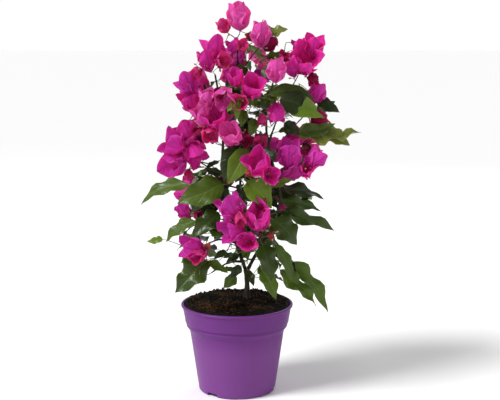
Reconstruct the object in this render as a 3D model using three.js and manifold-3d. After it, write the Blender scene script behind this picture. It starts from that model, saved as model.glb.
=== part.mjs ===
// Bougainvillea bush in its nursery pot.
//
// Millimetres, +Z up. The origin is the centre of the pot's underside, and the front of the
// bush faces -Y. Pot, soil, trunk, stems, boughs and each mass of leaf or bloom are separate
// closed solids. Solids that touch keep GAP between them.

import * as THREE from "three";
import { mergeVertices } from "three/addons/utils/BufferGeometryUtils.js";
import Module from "manifold-3d";

const wasm = await Module();
wasm.setup();

// ---------------------------------------------------------------- driving dimensions

const GAP = 0.3;
const ROUND_SEGMENTS = 28;
const OVERRUN = 1; // how far a cutting solid runs past the face that it opens

const POT = {
  height: 134,
  rimRadius: 85,
  lipHeight: 6,
  collarTopRadius: 82,
  collarRadius: 78.5,
  collarHeight: 106,
  shoulderHeight: 95,
  shoulderTuck: 1.6,
  bodyRadius: 71.5,
  baseRadius: 58.6,
  baseRound: 3,
  wall: 1.6,
  floor: 2,
};

// Raised channels under the floor, open at the foot of the wall, with drain holes in their roofs.
const CHANNEL = { count: 3, width: 18, height: 5.5, innerRadius: 20, turn: -10 };
const DRAIN_HOLE = { radius: 3.2, at: [31, 46], depth: 6, sides: 10 };

const SOIL = { edgeDrop: 2.6, mound: 6.5, lump: 1.5, rings: 5, edgeInset: 0.4 };

const TRUNK = { x: 15, y: 10, ground: 137, forkHeight: 183, baseRadius: 4.1, forkRadius: 3.5, flare: 2.6 };

const CROWN = { top: 585, axisX: 8, axisY: 2 };

// How uneven a mass is, how sharply its tips rise from it, and how far a bough runs into it.
const MASS = { waves: 5, unevenness: 0.07, tipSharpness: 22, entryShare: 0.6, leastDistance: 1 };

// ---------------------------------------------------------------- stems and boughs

// A stem or bough leaves its parent at a share of the parent's length and ends where it
// enters its mass. A stem runs through its points on the way. Radii run from foot to tip.
const STEMS = [
  {
    name: "stem_left",
    parent: "trunk",
    share: 1,
    points: [[5, -2, 208], [-11, -17, 262], [-22, -27, 321], [-20, -26, 385], [-26, -8, 448]],
    mass: "bloom_mass_upper_left",
    radii: [2.9, 1.5],
  },
  {
    name: "stem_right",
    parent: "trunk",
    share: 0.86,
    points: [[30, -4, 212], [55, -22, 262], [64, -28, 303], [52, -30, 350], [43, -32, 410]],
    mass: "bloom_mass_upper_middle",
    radii: [2.6, 1.4],
  },
  {
    name: "stem_centre",
    parent: "stem_left",
    share: 0.1,
    points: [[8, 9, 262], [5, 8, 330], [8, 2, 400], [3, 4, 470]],
    mass: "bloom_mass_top",
    radii: [2.2, 1.2],
  },
];

const BOUGH = { slimming: 0.72, tipRadius: 0.9, liftAt: 0.45, sides: 5, steps: 4 };

const BOUGHS = [
  { name: "bough_top_right", parent: "stem_centre", share: 0.82, mass: "bloom_mass_top_right", lift: 4 },
  { name: "bough_upper_right", parent: "stem_right", share: 0.7, mass: "bloom_mass_upper_right", lift: 8 },
  { name: "bough_left_high", parent: "stem_left", share: 0.7, mass: "bloom_mass_left_high", lift: 6 },
  { name: "bough_far_left", parent: "stem_left", share: 0.47, mass: "bloom_mass_far_left", lift: 6 },
  { name: "bough_left_tip", parent: "stem_left", share: 0.33, mass: "leaf_mass_far_left", lift: 10 },
  { name: "bough_lower_left", parent: "stem_left", share: 0.16, mass: "bloom_mass_lower_left", lift: 8 },
  { name: "bough_foot_left", parent: "stem_left", share: 0.05, mass: "leaf_mass_foot_left", lift: 6 },
  { name: "bough_right_high", parent: "stem_right", share: 0.62, mass: "bloom_mass_right_high", lift: 8 },
  { name: "bough_far_right", parent: "stem_right", share: 0.52, mass: "leaf_mass_far_right", lift: 10 },
  { name: "bough_right_low", parent: "stem_right", share: 0.3, mass: "leaf_mass_right_middle", lift: 10 },
  { name: "bough_foot_right", parent: "stem_right", share: 0.14, mass: "leaf_mass_foot_far_right", lift: 12 },
  { name: "bough_front", parent: "stem_left", share: 0.24, mass: "bloom_mass_front_low", lift: 8 },
  { name: "bough_back_left", parent: "stem_centre", share: 0.3, mass: "leaf_mass_back_2_3", lift: 8 },
  { name: "bough_back_right", parent: "stem_centre", share: 0.36, mass: "leaf_mass_back_2_1", lift: 8 },
];

// ---------------------------------------------------------------- masses of leaf and bloom

// A mass larger than this, or with tips, is drawn on a finer ball.
const FINE_MASS_SIZE = 25;

// Centre, half sizes, and the leaf or bract tips that stand out of the mass.
const FRONT_MASSES = [
  {
    name: "bloom_mass_top",
    at: [0, -5, 549],
    reach: [25, 25, 31],
    tips: [[4, -5, CROWN.top], [-26, -6, 551]],
  },
  { name: "bloom_mass_top_right", at: [42, -8, 531], reach: [21, 22, 29], tips: [[75, 0, 545]] },
  { name: "bloom_mass_upper_left", at: [-35, -20, 500], reach: [25, 27, 37] },
  { name: "bloom_mass_upper_right", at: [98, -14, 496], reach: [28, 28, 36] },
  { name: "bloom_mass_upper_middle", at: [56, -38, 488], reach: [22, 24, 24] },
  { name: "bloom_mass_upper_front", at: [14, -56, 465], reach: [36, 24, 33] },
  { name: "bloom_mass_left_high", at: [-65, -20, 449], reach: [24, 27, 33] },
  { name: "bloom_mass_left_centre", at: [-34, -57, 430], reach: [24, 22, 33] },
  { name: "bloom_mass_centre_right", at: [46, -57, 424], reach: [26, 23, 30] },
  { name: "leaf_mass_right_high", at: [88, -36, 443], reach: [28, 22, 24] },
  { name: "bloom_mass_right_high", at: [114, 0, 434], reach: [22, 24, 29], tips: [[148, 14, 428]] },
  { name: "bloom_mass_front_middle", at: [-3, -72, 400], reach: [24, 22, 26] },
  {
    name: "leaf_mass_far_right",
    at: [118, -22, 394],
    reach: [32, 22, 19],
    tips: [[183, -25, 399], [150, -24, 378]],
  },
  { name: "bloom_mass_far_left", at: [-74, -34, 370], reach: [34, 30, 42] },
  { name: "bloom_mass_right_middle", at: [92, -48, 356], reach: [34, 26, 27] },
  { name: "bloom_mass_front_right", at: [38, -80, 363], reach: [26, 27, 35] },
  { name: "leaf_mass_front_centre", at: [-4, -66, 350], reach: [26, 22, 28] },
  { name: "leaf_mass_front_left", at: [-52, -52, 314], reach: [36, 25, 27], tips: [[-88, -56, 296]] },
  { name: "leaf_mass_far_left", at: [-101, -12, 303], reach: [26, 20, 14], tips: [[-146, -10, 287]] },
  { name: "leaf_mass_front_right", at: [40, -68, 312], reach: [28, 22, 26] },
  {
    name: "leaf_mass_right_middle",
    at: [104, -4, 281],
    reach: [28, 24, 22],
    tips: [[147, -20, 248], [133, 8, 292]],
  },
  { name: "leaf_mass_right_low", at: [67, -42, 256], reach: [25, 25, 32] },
  { name: "bloom_mass_front_low", at: [12, -82, 274], reach: [38, 26, 36] },
  { name: "leaf_mass_left_low", at: [-56, -34, 264], reach: [34, 28, 24] },
  { name: "bloom_mass_lower_left", at: [-66, -60, 230], reach: [28, 24, 26], tips: [[-134, -20, 234]] },
  {
    name: "leaf_mass_foot_left",
    at: [-50, -52, 187],
    reach: [38, 24, 24],
    tips: [[-92, -62, 166], [-10, -30, 184]],
  },
  { name: "leaf_mass_foot_right", at: [52, -44, 200], reach: [23, 22, 36], tips: [[56, -50, 152]] },
  {
    name: "leaf_mass_foot_far_right",
    at: [86, -34, 183],
    reach: [20, 18, 28],
    tips: [[135, -40, 129], [117, -34, 139]],
  },
];

// The back is filled in tiers: height, distance from the crown's axis, and where round it.
const BACK_REACH = [42, 36, 40];
const BACK_TIERS = [
  { height: 222, out: 62, turns: [48, 95, 142], kind: "leaf" },
  { height: 292, out: 82, turns: [42, 92, 142], kind: "leaf" },
  { height: 362, out: 82, turns: [22, 75, 138], kind: "bloom" },
  { height: 430, out: 62, turns: [50, 128], kind: "leaf" },
  { height: 492, out: 40, turns: [80], kind: "bloom" },
];

// ---------------------------------------------------------------- materials

const FINISH = {
  pot: { color: 0x8a4a9e, roughness: 0.42 },
  soil: { color: 0x2a211a, roughness: 1.0 },
  bark: { color: 0x6f5a3e, roughness: 0.85 },
  leaf: { color: 0x46602a, roughness: 0.45 },
  bloom: { color: 0xbe2d8c, roughness: 0.6 },
};

function finish(kind) {
  return new THREE.MeshStandardMaterial({ ...FINISH[kind], metalness: 0 });
}

// ---------------------------------------------------------------- solids

// The geometry with its shared corners made one.
function welded(geometry) {
  const bare = geometry.clone();
  for (const name of ["normal", "uv"]) bare.deleteAttribute(name);
  return mergeVertices(bare, 1e-4);
}

function toSolid(geometry) {
  const merged = welded(geometry);
  return new wasm.Manifold(
    new wasm.Mesh({
      numProp: 3,
      vertProperties: new Float32Array(merged.attributes.position.array),
      triVerts: new Uint32Array(merged.index.array),
    }),
  );
}

function toGeometry(solid) {
  const { vertProperties, triVerts } = solid.getMesh();
  const geometry = new THREE.BufferGeometry();
  geometry.setAttribute("position", new THREE.BufferAttribute(new Float32Array(vertProperties), 3));
  geometry.setIndex(new THREE.BufferAttribute(new Uint32Array(triVerts), 1));
  return geometry;
}

// Points of a quarter or other arc, angles in degrees, in a profile's (radius, height) plane.
function arc(centreRadius, centreHeight, radius, from, to, steps) {
  return Array.from({ length: steps + 1 }, (_, step) => {
    const angle = THREE.MathUtils.degToRad(from + ((to - from) * step) / steps);
    return [centreRadius + radius * Math.cos(angle), centreHeight + radius * Math.sin(angle)];
  });
}

// Turns a (radius, height) profile about +Z.
function turned(profile) {
  const points = profile.map(([radius, height]) => new THREE.Vector2(Math.max(radius, 0), height));
  return new THREE.LatheGeometry(points, ROUND_SEGMENTS).rotateX(Math.PI / 2);
}

function seededRandom(seed) {
  let state = seed >>> 0;
  return () => {
    state = (state + 0x6d2b79f5) >>> 0;
    let mixed = Math.imul(state ^ (state >>> 15), 1 | state);
    mixed = (mixed + Math.imul(mixed ^ (mixed >>> 7), 61 | mixed)) ^ mixed;
    return ((mixed ^ (mixed >>> 14)) >>> 0) / 4294967296;
  };
}

// ---------------------------------------------------------------- pot

function innerWallProfile(clearance) {
  const { wall, floor, baseRadius, bodyRadius, shoulderHeight, collarRadius, collarHeight } = POT;
  const inset = wall + clearance;
  return [
    [0, floor + clearance],
    [baseRadius - inset, floor + clearance],
    [bodyRadius - inset, shoulderHeight + wall],
    [collarRadius - inset, collarHeight + wall],
  ];
}

function channelBoxes(grow) {
  const { count, width, height, innerRadius, turn } = CHANNEL;
  const length = POT.rimRadius - innerRadius;
  return Array.from({ length: count }, (_, index) => {
    const box = new THREE.BoxGeometry(length + grow, width + 2 * grow, height + grow + OVERRUN);
    box.translate(innerRadius - grow + (length + grow) / 2, 0, (height + grow - OVERRUN) / 2);
    box.rotateZ(THREE.MathUtils.degToRad(turn + (360 * index) / count));
    return toSolid(box);
  });
}

function drainHoles() {
  const { count, turn, height } = CHANNEL;
  const { radius, at, depth, sides } = DRAIN_HOLE;
  return Array.from({ length: count }, (_, index) =>
    at.map((distance) => {
      const hole = new THREE.CylinderGeometry(radius, radius, depth, sides).rotateX(Math.PI / 2);
      hole.translate(distance, 0, height + POT.wall);
      hole.rotateZ(THREE.MathUtils.degToRad(turn + (360 * index) / count));
      return toSolid(hole);
    }),
  ).flat();
}

function potSolid() {
  const { height, rimRadius, lipHeight, collarTopRadius, collarRadius, collarHeight } = POT;
  const { shoulderHeight, shoulderTuck, bodyRadius, baseRadius, baseRound, wall } = POT;
  const shoulder = (collarHeight - shoulderHeight) / 2;
  const lip = lipHeight / 2;
  const outside = [
    [0, 0],
    ...arc(baseRadius - baseRound, baseRound, baseRound, -90, 0, 2),
    [bodyRadius, shoulderHeight],
    [collarRadius - shoulderTuck, collarHeight - shoulder],
    [collarRadius, collarHeight],
    [collarTopRadius, height - lipHeight],
    ...arc(rimRadius - lip, height - lip, lip, -50, 90, 3),
  ];
  const inside = [[collarTopRadius - wall, height - lip], ...innerWallProfile(0).reverse()];
  const shell = toSolid(turned([...outside, ...inside]));
  const outer = toSolid(turned([...outside, [0, height]]));
  let pot = shell;
  for (const roof of channelBoxes(wall)) pot = pot.add(roof.intersect(outer));
  for (const slot of channelBoxes(0)) pot = pot.subtract(slot);
  for (const hole of drainHoles()) pot = pot.subtract(hole);
  return pot;
}

// ---------------------------------------------------------------- soil

// Height of the soil's surface: flat at the rim, mounded and lumpy towards the middle.
function soilHeight(radius, angle) {
  const edge = POT.collarTopRadius;
  const rise = 1 - (radius / edge) ** 2;
  const lumps = Math.sin(3 * angle + 0.09 * radius) + Math.sin(5 * angle - 0.21 * radius + 2);
  const calm = THREE.MathUtils.smoothstep(rise, 0.05, 0.4);
  return POT.height - SOIL.edgeDrop + SOIL.mound * rise + (SOIL.lump / 2) * lumps * calm;
}

function soilSolid() {
  const wallProfile = innerWallProfile(GAP);
  const edgeHeight = POT.height - SOIL.edgeDrop;
  const edgeRadius = POT.collarTopRadius - POT.wall - GAP - SOIL.edgeInset;
  const top = Array.from({ length: SOIL.rings }, (_, ring) => {
    return [edgeRadius * (1 - ring / (SOIL.rings - 1)), edgeHeight];
  });
  const geometry = welded(turned([...wallProfile, ...top]));
  const places = geometry.attributes.position;
  for (let index = 0; index < places.count; index += 1) {
    const radius = Math.hypot(places.getX(index), places.getY(index));
    const angle = Math.atan2(places.getY(index), places.getX(index));
    const onTop = places.getZ(index) > edgeHeight - GAP;
    if (onTop) places.setZ(index, soilHeight(radius, radius < 1 ? 0 : angle));
  }
  const seatRadius = TRUNK.baseRadius + TRUNK.flare + 1;
  const seatDepth = 2 * SOIL.mound;
  const seat = new THREE.CylinderGeometry(seatRadius, seatRadius, seatDepth, 12);
  seat.rotateX(Math.PI / 2).translate(TRUNK.x, TRUNK.y, TRUNK.ground - GAP + seatDepth / 2);
  let soil = toSolid(geometry).subtract(toSolid(seat));
  for (const roof of channelBoxes(POT.wall + GAP)) soil = soil.subtract(roof);
  return soil;
}

// ---------------------------------------------------------------- limbs

// A tapering limb: a cone of rings laid along a curve. grow widens it for a cut-out.
class Limb {
  constructor({ name, points, radii, sides = 6, steps = 10, flare = 0 }) {
    this.name = name;
    this.curve = new THREE.CatmullRomCurve3(points, false, "centripetal");
    this.radii = radii;
    this.sides = sides;
    this.steps = steps;
    this.flare = flare;
    this.frames = this.curve.computeFrenetFrames(steps, false);
  }

  radiusAt(share) {
    return THREE.MathUtils.lerp(this.radii[0], this.radii[1], share) + this.flare * (1 - share) ** 6;
  }

  // The middle of the limb at a share of its length, on the straight pieces that it is made of.
  axisAt(share) {
    const step = Math.min(Math.floor(share * this.steps), this.steps - 1);
    const [from, to] = [step, step + 1].map((end) => this.curve.getPointAt(end / this.steps));
    return from.lerp(to, share * this.steps - step);
  }

  // The point of the limb's cross-section at a step that lies at (across, along) of its radius.
  spot(step, across, along, grow = 0) {
    const share = step / this.steps;
    const reach = this.radiusAt(share) + grow;
    const overrun = step === 0 ? -grow : step === this.steps ? grow : 0;
    return this.curve
      .getPointAt(share)
      .addScaledVector(this.frames.normals[step], along * reach)
      .addScaledVector(this.frames.binormals[step], across * reach)
      .addScaledVector(this.frames.tangents[step], overrun);
  }

  solid(grow = 0) {
    const cone = new THREE.CylinderGeometry(1, 1, 1, this.sides, this.steps);
    const places = cone.attributes.position;
    for (let index = 0; index < places.count; index += 1) {
      const step = Math.round((places.getY(index) + 0.5) * this.steps);
      const spot = this.spot(step, places.getX(index), places.getZ(index), grow);
      places.setXYZ(index, spot.x, spot.y, spot.z);
    }
    return toSolid(cone);
  }

  ring(step) {
    return Array.from({ length: this.sides }, (_, side) => {
      const angle = (2 * Math.PI * side) / this.sides;
      return this.spot(step, Math.sin(angle), Math.cos(angle));
    });
  }

  // Straight pieces of the limb: each one's axis, and the corners that bound it.
  spans() {
    return Array.from({ length: this.steps }, (_, step) => ({
      axis: new THREE.Line3(this.axisAt(step / this.steps), this.axisAt((step + 1) / this.steps)),
      corners: [...this.ring(step), ...this.ring(step + 1)],
    }));
  }
}

function trunkLimb() {
  const { x, y, ground, forkHeight, baseRadius, forkRadius, flare } = TRUNK;
  const lean = [[0, 0, 0], [0.4, -0.2, 0.3], [0.1, -0.9, 0.7], [-2.2, -2, 1]];
  const points = lean.map(([dx, dy, up]) => {
    return new THREE.Vector3(x + dx, y + dy, THREE.MathUtils.lerp(ground, forkHeight, up));
  });
  return new Limb({ name: "trunk", points, radii: [baseRadius, forkRadius], flare, sides: 8, steps: 5 });
}

// Where a limb that comes from `start` enters a mass: on the near side of its middle.
function entry(start, mass) {
  const inward = start.clone().sub(mass.centre).normalize();
  return mass.centre.clone().addScaledVector(inward, MASS.entryShare * mass.reachAlong(inward));
}

function stemLimb({ name, share, points, radii, mass }, parent, masses) {
  const route = [parent.axisAt(share), ...points.map((point) => new THREE.Vector3(...point))];
  route.push(entry(route.at(-1), masses.get(mass)));
  return new Limb({ name, points: route, radii, steps: 9 });
}

function boughLimb({ name, share, mass, lift }, parent, masses) {
  const start = parent.axisAt(share);
  const end = entry(start, masses.get(mass));
  const middle = start.clone().lerp(end, BOUGH.liftAt);
  middle.z += lift;
  const radii = [BOUGH.slimming * parent.radiusAt(share), BOUGH.tipRadius];
  const { sides, steps } = BOUGH;
  return new Limb({ name, points: [start, middle, end], radii, sides, steps });
}

// ---------------------------------------------------------------- masses

// One uneven body of foliage, drawn as a distance from its centre in every direction.
class Mass {
  constructor({ name, at, reach, tips = [] }, seed) {
    this.name = name;
    this.centre = new THREE.Vector3(...at);
    this.reach = reach;
    this.tips = tips.map((tip) => new THREE.Vector3(...tip).sub(this.centre));
    this.walls = [];
    const random = seededRandom(seed);
    this.waves = Array.from({ length: MASS.waves }, () => ({
      axis: new THREE.Vector3(random() - 0.5, random() - 0.5, random() - 0.5).setLength(3 + 3 * random()),
      phase: 2 * Math.PI * random(),
    }));
  }

  reachAlong(direction) {
    const [x, y, z] = this.reach;
    return 1 / Math.hypot(direction.x / x, direction.y / y, direction.z / z);
  }

  size() {
    return Math.cbrt(this.reach[0] * this.reach[1] * this.reach[2]);
  }

  // Keeps the mass behind a plane at `distance` from its centre along `normal`.
  addWall(normal, distance) {
    this.walls.push({ normal, distance: Math.max(distance, MASS.leastDistance) });
  }

  distanceAlong(direction) {
    const heights = this.waves.map(({ axis, phase }) => Math.sin(axis.dot(direction) + phase));
    const uneven = heights.reduce((sum, height) => sum + height, 0);
    let distance = this.reachAlong(direction) * (1 + MASS.unevenness * uneven);
    for (const tip of this.tips) {
      const aim = Math.max(direction.dot(tip) / tip.length(), 0);
      distance += Math.max(tip.length() - distance, 0) * aim ** MASS.tipSharpness;
    }
    for (const { normal, distance: limit } of this.walls) {
      const aim = direction.dot(normal);
      if (aim > 0) distance = Math.min(distance, limit / aim);
    }
    return distance;
  }

  geometry() {
    const detail = this.tips.length > 0 || this.size() > FINE_MASS_SIZE ? 2 : 1;
    const body = welded(new THREE.IcosahedronGeometry(1, detail));
    const places = body.attributes.position;
    const directions = Array.from({ length: places.count }, (_, index) => {
      return new THREE.Vector3().fromBufferAttribute(places, index).normalize();
    });
    const free = new Set(directions);
    for (const tip of this.tips) {
      const aim = tip.clone().normalize();
      const nearest = [...free].reduce((best, next) => (next.dot(aim) > best.dot(aim) ? next : best));
      nearest.copy(aim);
      free.delete(nearest);
    }
    directions.forEach((direction, index) => {
      const spot = this.centre.clone().addScaledVector(direction, this.distanceAlong(direction));
      places.setXYZ(index, spot.x, spot.y, spot.z);
    });
    return body;
  }
}

function backMasses() {
  return BACK_TIERS.flatMap(({ height, out, turns, kind }, tier) =>
    turns.map((turn, index) => {
      const angle = THREE.MathUtils.degToRad(turn);
      return {
        name: `${kind}_mass_back_${tier + 1}_${index + 1}`,
        at: [CROWN.axisX + out * Math.cos(angle), CROWN.axisY + out * Math.sin(angle), height],
        reach: BACK_REACH,
      };
    }),
  );
}

// Parts two masses by one plane across the line between their centres.
function partMasses(first, second) {
  const between = second.centre.clone().sub(first.centre);
  const distance = between.length();
  const share = first.size() / (first.size() + second.size());
  const normal = between.normalize();
  first.addWall(normal, distance * share - GAP / 2);
  second.addWall(normal.clone().negate(), distance * (1 - share) - GAP / 2);
}

// Holds a mass to one side of every straight piece of a limb.
function clearLimb(mass, limb) {
  for (const { axis, corners } of limb.spans()) {
    const nearest = axis.closestPointToPoint(mass.centre, true, new THREE.Vector3());
    const normal = nearest.sub(mass.centre).normalize();
    const distances = corners.map((corner) => corner.sub(mass.centre).dot(normal));
    mass.addWall(normal, Math.min(...distances) - GAP);
  }
}

// ---------------------------------------------------------------- assembly

const group = new THREE.Group();

function place(name, geometry, kind) {
  const mesh = new THREE.Mesh(geometry, finish(kind));
  mesh.name = name;
  group.add(mesh);
}

place("pot", toGeometry(potSolid()), "pot");
place("soil", toGeometry(soilSolid()), "soil");

const crownPlan = [...FRONT_MASSES, ...backMasses()];
const masses = new Map(crownPlan.map((plan, index) => [plan.name, new Mass(plan, index + 1)]));
const limbs = new Map([["trunk", trunkLimb()]]);
for (const plan of STEMS) limbs.set(plan.name, stemLimb(plan, limbs.get(plan.parent), masses));
for (const plan of BOUGHS) limbs.set(plan.name, boughLimb(plan, limbs.get(plan.parent), masses));

const cutters = [];
for (const limb of limbs.values()) {
  let solid = limb.solid();
  for (const cutter of cutters) solid = solid.subtract(cutter);
  cutters.push(limb.solid(GAP));
  place(limb.name, toGeometry(solid), "bark");
}

const crown = [...masses.values()];
crown.forEach((mass, index) => {
  for (const other of crown.slice(index + 1)) partMasses(mass, other);
  for (const limb of limbs.values()) clearLimb(mass, limb);
});
for (const mass of crown) place(mass.name, mass.geometry(), mass.name.split("_")[0]);

export default group;
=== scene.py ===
"""Looks of a potted bougainvillea bush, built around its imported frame.

Metres, +Z up. The pot stands on the floor at the origin and the front of the bush faces -Y.
"""

import logging
import math
from collections.abc import Iterable, Sequence
from dataclasses import dataclass, field
from enum import Enum

import bpy
import numpy as np
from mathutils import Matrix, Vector, noise


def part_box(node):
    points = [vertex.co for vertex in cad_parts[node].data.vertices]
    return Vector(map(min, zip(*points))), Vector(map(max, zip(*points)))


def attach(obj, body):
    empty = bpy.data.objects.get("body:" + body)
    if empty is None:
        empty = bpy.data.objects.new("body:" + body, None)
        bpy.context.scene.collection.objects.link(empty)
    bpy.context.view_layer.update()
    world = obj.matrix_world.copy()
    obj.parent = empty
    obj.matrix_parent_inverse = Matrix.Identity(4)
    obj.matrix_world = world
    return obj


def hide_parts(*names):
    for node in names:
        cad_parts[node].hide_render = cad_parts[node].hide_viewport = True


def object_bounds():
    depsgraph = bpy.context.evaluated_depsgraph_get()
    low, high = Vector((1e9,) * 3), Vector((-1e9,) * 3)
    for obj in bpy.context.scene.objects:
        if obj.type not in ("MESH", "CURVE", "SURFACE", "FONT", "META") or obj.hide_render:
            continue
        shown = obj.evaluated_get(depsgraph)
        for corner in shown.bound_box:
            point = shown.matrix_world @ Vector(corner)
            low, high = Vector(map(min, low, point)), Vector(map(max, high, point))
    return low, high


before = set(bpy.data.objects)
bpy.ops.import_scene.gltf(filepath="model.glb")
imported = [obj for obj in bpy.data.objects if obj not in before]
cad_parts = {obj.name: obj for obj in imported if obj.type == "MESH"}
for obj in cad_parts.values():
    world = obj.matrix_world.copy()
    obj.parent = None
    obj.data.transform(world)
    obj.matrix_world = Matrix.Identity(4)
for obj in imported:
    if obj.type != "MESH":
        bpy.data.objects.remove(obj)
CAD_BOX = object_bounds()

log = logging.getLogger("bush")

Colour = tuple[float, float, float]
Place = tuple[float, float, float]
Pair = tuple[float, float]

UP = np.array((0.0, 0.0, 1.0))
FRONT = np.array((0.0, -1.0, 0.0))
WHITE = (1.0, 1.0, 1.0, 1.0)
MIDDLE = (0.5, 0.5, 0.5)
SEED = 11


# ---------------------------------------------------------------- shader writing


class Wire:
    """One shader output that can stand in a written sum."""

    def __init__(self, finish: "Finish", socket: bpy.types.NodeSocket) -> None:
        """Keeps the finish that the socket belongs to."""
        self.finish = finish
        self.socket = socket

    def _maths(self, operation: str, first: "Wire | float", second: "Wire | float") -> "Wire":
        """Adds one Math node.

        Args:
            operation: the Math node's operation.
            first: left-hand value.
            second: right-hand value.

        Returns:
            The node's result.
        """
        return self.finish.wire("ShaderNodeMath", {"operation": operation}, {0: first, 1: second})

    def __add__(self, other: "Wire | float") -> "Wire":
        """Sum."""
        return self._maths("ADD", self, other)

    __radd__ = __add__

    def __sub__(self, other: "Wire | float") -> "Wire":
        """Difference."""
        return self._maths("SUBTRACT", self, other)

    def __rsub__(self, other: float) -> "Wire":
        """Difference with a number on the left."""
        return self._maths("SUBTRACT", other, self)

    def __mul__(self, other: "Wire | float") -> "Wire":
        """Product."""
        return self._maths("MULTIPLY", self, other)

    __rmul__ = __mul__

    def __abs__(self) -> "Wire":
        """Size without its sign."""
        return self._maths("ABSOLUTE", self, 0.0)

    def wrapped(self) -> "Wire":
        """The value's own fraction, which repeats from 0 to 1."""
        return self._maths("FRACT", self, 0.0)

    def ramp(self, low: float, high: float) -> "Wire":
        """Smooth rise from 0 at low to 1 at high, which may be the smaller."""
        settings = {"interpolation_type": "SMOOTHSTEP"}
        sockets = {"Value": self, "From Min": low, "From Max": high}
        return self.finish.wire("ShaderNodeMapRange", settings, sockets)


class Finish:
    """One material, or the room's world, while its nodes are being laid."""

    def __init__(self, name: str, world: bool = False) -> None:
        """Starts a material, or a world, that has no nodes yet."""
        self.holder = (bpy.data.worlds if world else bpy.data.materials).new(name)
        self.holder.use_nodes = True
        self.holder.node_tree.nodes.clear()

    def node(self, kind: str, settings: dict, sockets: dict) -> bpy.types.Node:
        """Adds one node.

        Args:
            kind: the node's type.
            settings: its own properties, which are set first.
            sockets: values or wires by the socket's name or number.

        Returns:
            The node.
        """
        tree = self.holder.node_tree
        node = tree.nodes.new(kind)
        for name, value in settings.items():
            setattr(node, name, value)
        for key, value in sockets.items():
            if isinstance(value, Wire):
                tree.links.new(value.socket, node.inputs[key])
            else:
                node.inputs[key].default_value = value
        return node

    def wire(self, kind: str, settings: dict, sockets: dict, output: int | str = 0) -> Wire:
        """Adds one node and returns one of its outputs."""
        return Wire(self, self.node(kind, settings, sockets).outputs[output])

    def place(self) -> Wire:
        """Object coordinates."""
        return self.wire("ShaderNodeTexCoord", {}, {}, "Object")

    def stretched(self, scale: Place) -> Wire:
        """Object coordinates, scaled along each axis."""
        return self.wire("ShaderNodeMapping", {}, {"Vector": self.place(), "Scale": scale})

    def mottle(self, scale: float, detail: float = 3.0, where: Wire | None = None) -> Wire:
        """Soft noise from 0 to 1."""
        sockets = {"Vector": where or self.place(), "Scale": scale, "Detail": detail}
        return self.wire("ShaderNodeTexNoise", {}, sockets)

    def blade_place(self) -> tuple[Wire, Wire]:
        """Place on a blade, from its UV map.

        Returns:
            The distance along it and the signed distance across it, from -1 to 1.
        """
        uv = self.wire("ShaderNodeUVMap", {"uv_map": "UVMap"}, {})
        split = self.node("ShaderNodeSeparateXYZ", {}, {0: uv})
        along, across = Wire(self, split.outputs[0]), Wire(self, split.outputs[1])
        return along, across * 2.0 - 1.0

    def blend(self, share: Wire | float, first: Colour | Wire, second: Colour | Wire) -> Wire:
        """Colour between two others."""
        ends = [end if isinstance(end, Wire) else (*end, 1.0) for end in (first, second)]
        sockets = {0: share, 6: ends[0], 7: ends[1]}
        return self.wire("ShaderNodeMix", {"data_type": "RGBA"}, sockets, 2)

    def bump(self, height: Wire, strength: float, distance: float) -> Wire:
        """Relief from a height."""
        sockets = {"Height": height, "Strength": strength, "Distance": distance}
        return self.wire("ShaderNodeBump", {}, sockets)

    def close(
        self, sockets: dict, glow_through: float = 0.0, light: Colour = (1, 1, 1)
    ) -> bpy.types.Material:
        """Ends the material with its shader.

        Args:
            sockets: values or wires of the Principled node.
            glow_through: share of light that passes through a thin blade.
            light: colour of that light.

        Returns:
            The finished material.
        """
        shader = self.wire("ShaderNodeBsdfPrincipled", {}, sockets)
        if glow_through:
            through = self.wire("ShaderNodeBsdfTranslucent", {}, {"Color": (*light, 1.0)})
            shader = self.wire("ShaderNodeMixShader", {}, {0: glow_through, 1: shader, 2: through})
        self.node("ShaderNodeOutputMaterial", {}, {"Surface": shader})
        return self.holder


def shaded(colour: Colour, share: float) -> Colour:
    """A colour made lighter or darker.

    Args:
        colour: linear red, green and blue.
        share: what each is multiplied by.

    Returns:
        The new colour, held under 1.
    """
    return tuple(min(0.95, part * share) for part in colour)


@dataclass(frozen=True)
class PotFinish:
    """Satin moulded plastic, a little cloudy, with the wall below the collar painted paler than the collar:
    painted light through the thin plastic and on the body.
    """

    collar: Colour = (0.138, 0.031, 0.190)
    # Painted light: this paler wall colour stands for light through the thin plastic and on the body.
    wall: Colour = (0.178, 0.050, 0.228)
    painted_light_heights: Pair = (0.100, 0.060)
    cloud: float = 0.10
    roughness: float = 0.40

    def make(self) -> bpy.types.Material:
        """Lays the nodes."""
        coat = Finish("pot_plastic")
        cloud = coat.mottle(9.0, 4.0)
        speck = coat.mottle(420.0, 2.0)
        height = coat.wire("ShaderNodeSeparateXYZ", {}, {0: coat.place()}, 2)
        # Painted light: below the collar the colour turns to the paler wall colour, fully so from 6 cm
        # down.
        body = coat.blend(height.ramp(*self.painted_light_heights), self.collar, self.wall)
        colour = coat.blend(self.cloud * cloud, body, (0.02, 0.0, 0.04))
        scuffs = coat.mottle(60.0, 5.0, coat.stretched((1.0, 1.0, 0.25))).ramp(0.45, 0.75)
        return coat.close(
            {
                "Base Color": colour,
                "Roughness": self.roughness + 0.10 * scuffs + 0.05 * cloud,
                "Specular IOR Level": 0.14,
                "Normal": coat.bump(speck + 2.0 * cloud, 0.12, 0.0004),
            }
        )


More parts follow.
